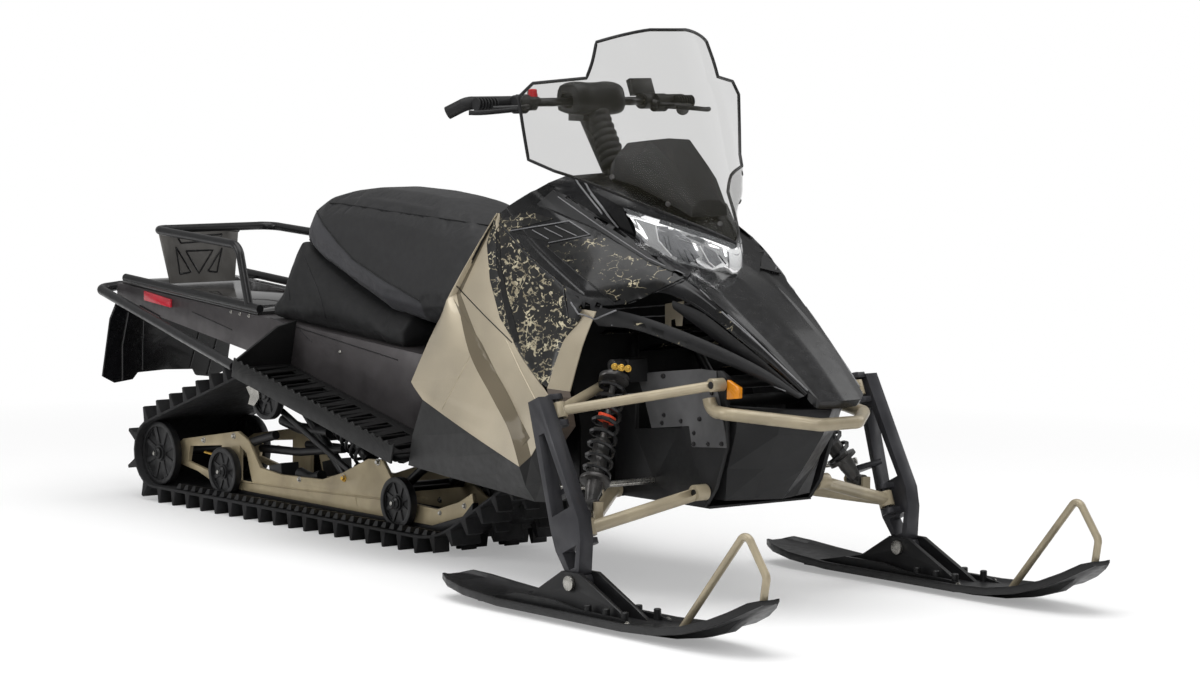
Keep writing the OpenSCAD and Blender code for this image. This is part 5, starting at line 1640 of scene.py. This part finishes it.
@dataclass
class Rear:
    """Details of the tunnel, boards, rack and snow flap."""

    flap_ribs: list = field(default_factory=lambda: [
        [(112, 305), (104, 340), (103, 372)], [(128, 312), (122, 345), (122, 380)],
        [(143, 320), (142, 345), (142, 370)]])
    tunnel_lines: list = field(default_factory=lambda: [
        ([(140, 306), (190, 333), (235, 356)], 3.2), ([(192, 312), (232, 330)], 1.6),
        ([(270, 318), (330, 338), (398, 360)], 1.6), ([(300, 330), (312, 342)], 1.4)])
    tunnel_screws: list = field(default_factory=lambda: [
        (231, 312, 5), (240, 314, 5), (249, 316, 5), (290, 340, 5), (340, 352, 5)])
    pressings: list = field(default_factory=lambda: [
        [(186, 251), (213, 250), (199, 273), (186, 251)], [(176, 247), (191, 272), (180, 274), (176, 247)],
        [(222, 248), (208, 271), (217, 272), (222, 248)],
        [(178, 238), (222, 234), (219, 240), (181, 243), (178, 238)]])

    def make(self) -> None:
        """Adds the ribs, shades, lines and screws."""
        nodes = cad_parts
        shape = Shape()
        flap = Carrier(nodes["snow_flap"])
        for pixels in self.flap_ribs:
            path = flap.line(pixels, 0.0, 8)
            if len(path) > 3:
                shape.tube(path, 3.0, 8, 0)
        tunnel = Carrier(nodes["tunnel"])
        for pixels, radius in self.tunnel_lines:
            path = tunnel.line(pixels, 0.0, 10)
            if len(path) > 3:
                shape.tube(path, radius, 8, 1)
        Fittings.put(shape, tunnel, self.tunnel_screws, Vector((0, -1, 0)), 2)
        shape.mirrored()
        shape.piece("rear_lines", [Finishes.GLOSS, Finishes.SHEET, Finishes.STEEL], crease=40)
        self.board_shade()
        self.rack()

    @staticmethod
    def board_shade() -> None:
        """Adds dark trays under the slots of the running boards: painted shade below the slots."""
        shape = Shape()
        high, low = Vector((-708, 0, 478)), Vector((44, 0, 300))
        rows = [[mix(high, low, k / 12) + Vector((0, -y, -20)) for y in (216, 300, 388)] for k in range(13)]
        # Shaded black trays below the slots: painted shade.
        shape.skin(rows, 2.0, 0, lambda p: Vector((0, 0, -1)))
        for k in range(20):
            a = mix(high, low, (k + 0.7) / 21)
            shape.tube([a + Vector((0, -232, -9)), a + Vector((26, -352, -9))], 4.0, 8, 1)
        shape.mirrored()
        shape.piece("board_painted_shade", [Finishes.DEEP, Finishes.TREAD], crease=40)

    def rack(self) -> None:
        """Adds the pressed triangles of the rack board."""
        board = Carrier(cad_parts["rack_board"])
        shape = Shape()
        for pixels in self.pressings:
            path = board.line(pixels, 0.0, 6)
            if len(path) > 6:
                shape.tube(path, 2.6, 8)
        shape.piece("rack_pressings", [Finishes.GLOSS], crease=40)


@dataclass
class Skid:
    """Plates, clips, caps and dark inner works of the rear suspension, and the shocks' fittings."""

    slot_cover: list = field(default_factory=lambda: [(291, 482), (355, 494.5), (357, 506), (294, 496)])
    rail_ridge: list = field(default_factory=lambda: [(241, 481), (300, 489.5), (382, 499)])
    rods: list = field(default_factory=lambda: [
        ([(282, 411), (320, 445), (357, 477)], -118, 9, 1), ([(250, 443), (262, 439), (276, 435)], -112, 13, 1),
        ([(248, 442), (255, 440)], -112, 7, 2), ([(283, 420), (300, 428), (330, 432)], -60, 16, 1),
        ([(262, 448), (300, 452), (344, 449)], -80, 12, 1), ([(300, 473), (312, 479), (322, 476)], -100, 17, 1),
        ([(205, 452), (216, 455)], -128, 4, 3)])
    stop_block: list = field(default_factory=lambda: [(269, 466), (281, 463), (282, 480), (271, 481)])
    bracket: list = field(default_factory=lambda: [
        (246, 387), (251, 385), (258, 389), (259, 398), (254, 406), (248, 404), (250, 396)])
    rail_bolts: list = field(default_factory=lambda: [
        (204, 440, 8), (234, 436, 8), (344, 478, 11), (378, 462, 9)])

    def make(self) -> None:
        """Adds the pieces to both sides."""
        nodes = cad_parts
        shape = Shape()
        rail = Carrier(nodes["skid_rails"])
        found = rail.hit((320, 483))
        side = found[0].y - 1.0 if found else -126.0
        cover = [CAMERA.at(q, 1, side) for q in self.slot_cover]
        shape.solid(cover, [q + Vector((0, 3, 0)) for q in cover], 0)
        ridge = [CAMERA.at(q, 1, side) for q in self.rail_ridge]
        shape.tube(smooth_line(ridge, 6), 2.6, 8, 0)
        for x in range(-1330, -60, 38):
            shape.solid([(x, -146, 52), (x + 22, -146, 52), (x + 22, -184, 52), (x, -184, 52)],
                        [(x + 3, -149, 63), (x + 19, -149, 63), (x + 17, -178, 66), (x + 5, -178, 66)], 1)
        for pixels, y, radius, paint in self.rods:
            shape.tube([CAMERA.at(q, 1, y) for q in pixels], radius, 12, paint)
        block = [CAMERA.at(q, 1, -122) for q in self.stop_block]
        shape.solid(block, [q + Vector((0, 60, 0)) for q in block], 1)
        coil = []
        low, high = Vector((-520, -70, 210)), Vector((-700, -70, 330))
        for k in range(97):
            turn = 2 * math.pi * k / 12
            coil.append(mix(low, high,
                            k / 96) + 34 * Vector((0.55 * math.cos(turn), math.sin(turn), 0.83 * math.cos(turn))))
        shape.tube(coil, 5, 8, 1)
        shape.tube([low, high], 16, 12, 1)
        bracket = [CAMERA.at(q, 1, -168) for q in self.bracket]
        shape.solid(bracket, [q + Vector((0, 5, 0)) for q in bracket], 2)
        for x, z, y in self.hubs():
            shape.turned([(17, 0), (17, 4), (10, 8), (10, 11), (6, 13)], (x, y, z), (0, -1, 0), 20, 1)
            shape.turned([(6, 0), (6, 5), (4, 6)], (x, y - 11, z), (0, -1, 0), 6, 2)
        Fittings.put(shape, rail, self.rail_bolts, Vector((0, -1, 0)), 3)
        shape.mirrored()
        shape.piece("skid_details", [Finishes.RAIL, Finishes.PLASTIC, Finishes.STEEL, Finishes.BRASS], crease=35)
        self.shocks()

    @staticmethod
    def hubs() -> list[tuple[float, float, float]]:
        """Returns the wheel centres, with the place of each outer face."""
        places = []
        for node in ("rear_idlers", "bogie_wheels"):
            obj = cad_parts[node]
            points = [Vector(v.co) / MM for v in obj.data.vertices if v.co.y < 0]
            left = sorted(points, key=lambda p: p.x)
            groups = [[left[0]]]
            for q in left[1:]:
                if q.x - groups[-1][-1].x > 25:
                    groups.append([])
                groups[-1].append(q)
            for group in groups:
                xs, zs = [q.x for q in group], [q.z for q in group]
                places.append(((min(xs) + max(xs)) / 2, (min(zs) + max(zs)) / 2, min(q.y for q in group) + 2))
        return places

    @staticmethod
    def shocks() -> None:
        """Adds the bolts and the coloured ring of the ski shocks."""
        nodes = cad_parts
        shape = Shape()
        points = [Vector(v.co) / MM for v in nodes["ski_shocks"].data.vertices if v.co.y < 0]
        high, low = max(points, key=lambda p: p.z), min(points, key=lambda p: p.z)
        top, foot = Vector((860, high.y, high.z - 17)), Vector((860, low.y, low.z + 17))
        way = (top - foot).normalized()
        ring = mix(foot, top, 0.6)
        shape.tube([ring, ring + 16 * way], 23, 20, 0)
        for dx in (-26, 0, 26):
            shape.bolt(top + Vector((dx, -17, 2)), (0.6, -0.8, 0), 9, 1)
        shape.bolt(foot + Vector((26, -4, 0)), (1, 0, 0), 10, 1)
        shape.mirrored()
        shape.piece("shock_fittings", [Finishes.ORANGE, Finishes.BRASS], crease=35)


@dataclass
class SkiTops:
    """Raised walls, ribs and bolts on the skis, which steer with them."""

    middle: float = 537.0
    wall: float = 58.0
    start: float = 690.0
    end: float = 1330.0

    def make(self) -> None:
        """Adds the tops of both skis."""
        for side, body in ((-1, Body.RIGHT), (1, Body.LEFT)):
            shape = Shape()
            for edge in (-1, 1):
                y = side * self.middle + edge * self.wall
                outline = [(self.start, 20), (760, 34), (850, 52), (990, 52), (1080, 40), (1240, 38), (self.end, 24),
                           (self.end, 14), (self.start, 12)]
                shape.solid([(x, y - 4, z) for x, z in outline], [(x, y + 4, z) for x, z in outline], 0)
                for x in (1110, 1180, 1250):
                    shape.turned([(9, 0), (9, 44), (7, 46)], (x, y - edge * 8, 8), (0, 0, 1), 14, 0)
                shape.bolt((1275, y + edge * 4, 27), (0, edge, 0), 9, 1)
            for k in range(9):
                x = 1040 + 30 * k
                y = side * self.middle
                low = [(x, y - self.wall, 10), (x + 6, y - self.wall, 10), (x + 6, y + self.wall, 10),
                       (x, y + self.wall, 10)]
                shape.solid(low, [(px, py, 30 - k) for px, py, _ in low], 0)
            shape.piece("ski_top_" + ("right" if side < 0 else "left"), [Finishes.PLASTIC, Finishes.STEEL], body,
                        crease=35)


@dataclass
class Plate:
    """Flat mounting plate on each side of the front bulkhead."""

    outline: list = field(default_factory=lambda: [
        (637, 375), (655, 372), (700, 369), (716, 371), (717, 387), (725, 434), (726, 448), (692, 447), (689, 426),
        (651.5, 428), (644, 397)])
    bolts: list = field(default_factory=lambda: [
        (664, 376), (664, 415), (662, 423), (681, 421), (700, 419), (694, 433), (694, 444), (708, 444), (722, 444)])
    probe: tuple = (690, 405)

    def make(self) -> None:
        """Adds the plate and its bolts to both sides."""
        carrier = Carrier(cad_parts["bulkhead"])
        found = carrier.hit(self.probe)
        if not found:
            return
        foot, way = found
        shape = Shape()
        flat = [self.meet(q, foot + 3 * way, way) for q in self.outline]
        shape.solid(flat, [q - 2.5 * way for q in flat], 0)
        for q in self.bolts:
            shape.bolt(self.meet(q, foot + 3 * way, way), way, 6, 1)
        shape.mirrored()
        shape.piece("bulkhead_plates", [Finishes.PLATE, Finishes.SHEET], crease=30)

    @staticmethod
    def meet(pixel: Pixel, foot: Vector, way: Vector) -> Vector:
        """Returns where the view line through a picture place meets a plane.

        Args:
            pixel: the picture place.
            foot: a point of the plane.
            way: the plane's normal.

        Returns:
            The point in millimetres.
        """
        eye, ray = Vector(CAMERA.place), CAMERA.ray(pixel)
        return eye + ray * ((foot - eye).dot(way) / ray.dot(way))


def main() -> None:
    """Builds the scene in order and reports each piece."""
    logging.basicConfig(level=logging.INFO, format="%(message)s")
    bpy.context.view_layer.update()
    CAMERA.make()
    Studio().make()
    Solids().dress()
    skins = Bodywork().make()
    HoodTrim(skins).make()
    SideTrim(skins).make()
    Bay().make()
    Headlamp().make()
    Screen().make()
    Seat().make()
    Fittings().make()
    Controls().make()
    Rear().make()
    Skid().make()
    SkiTops().make()
    Plate().make()


if __name__ == "__main__":
    main()
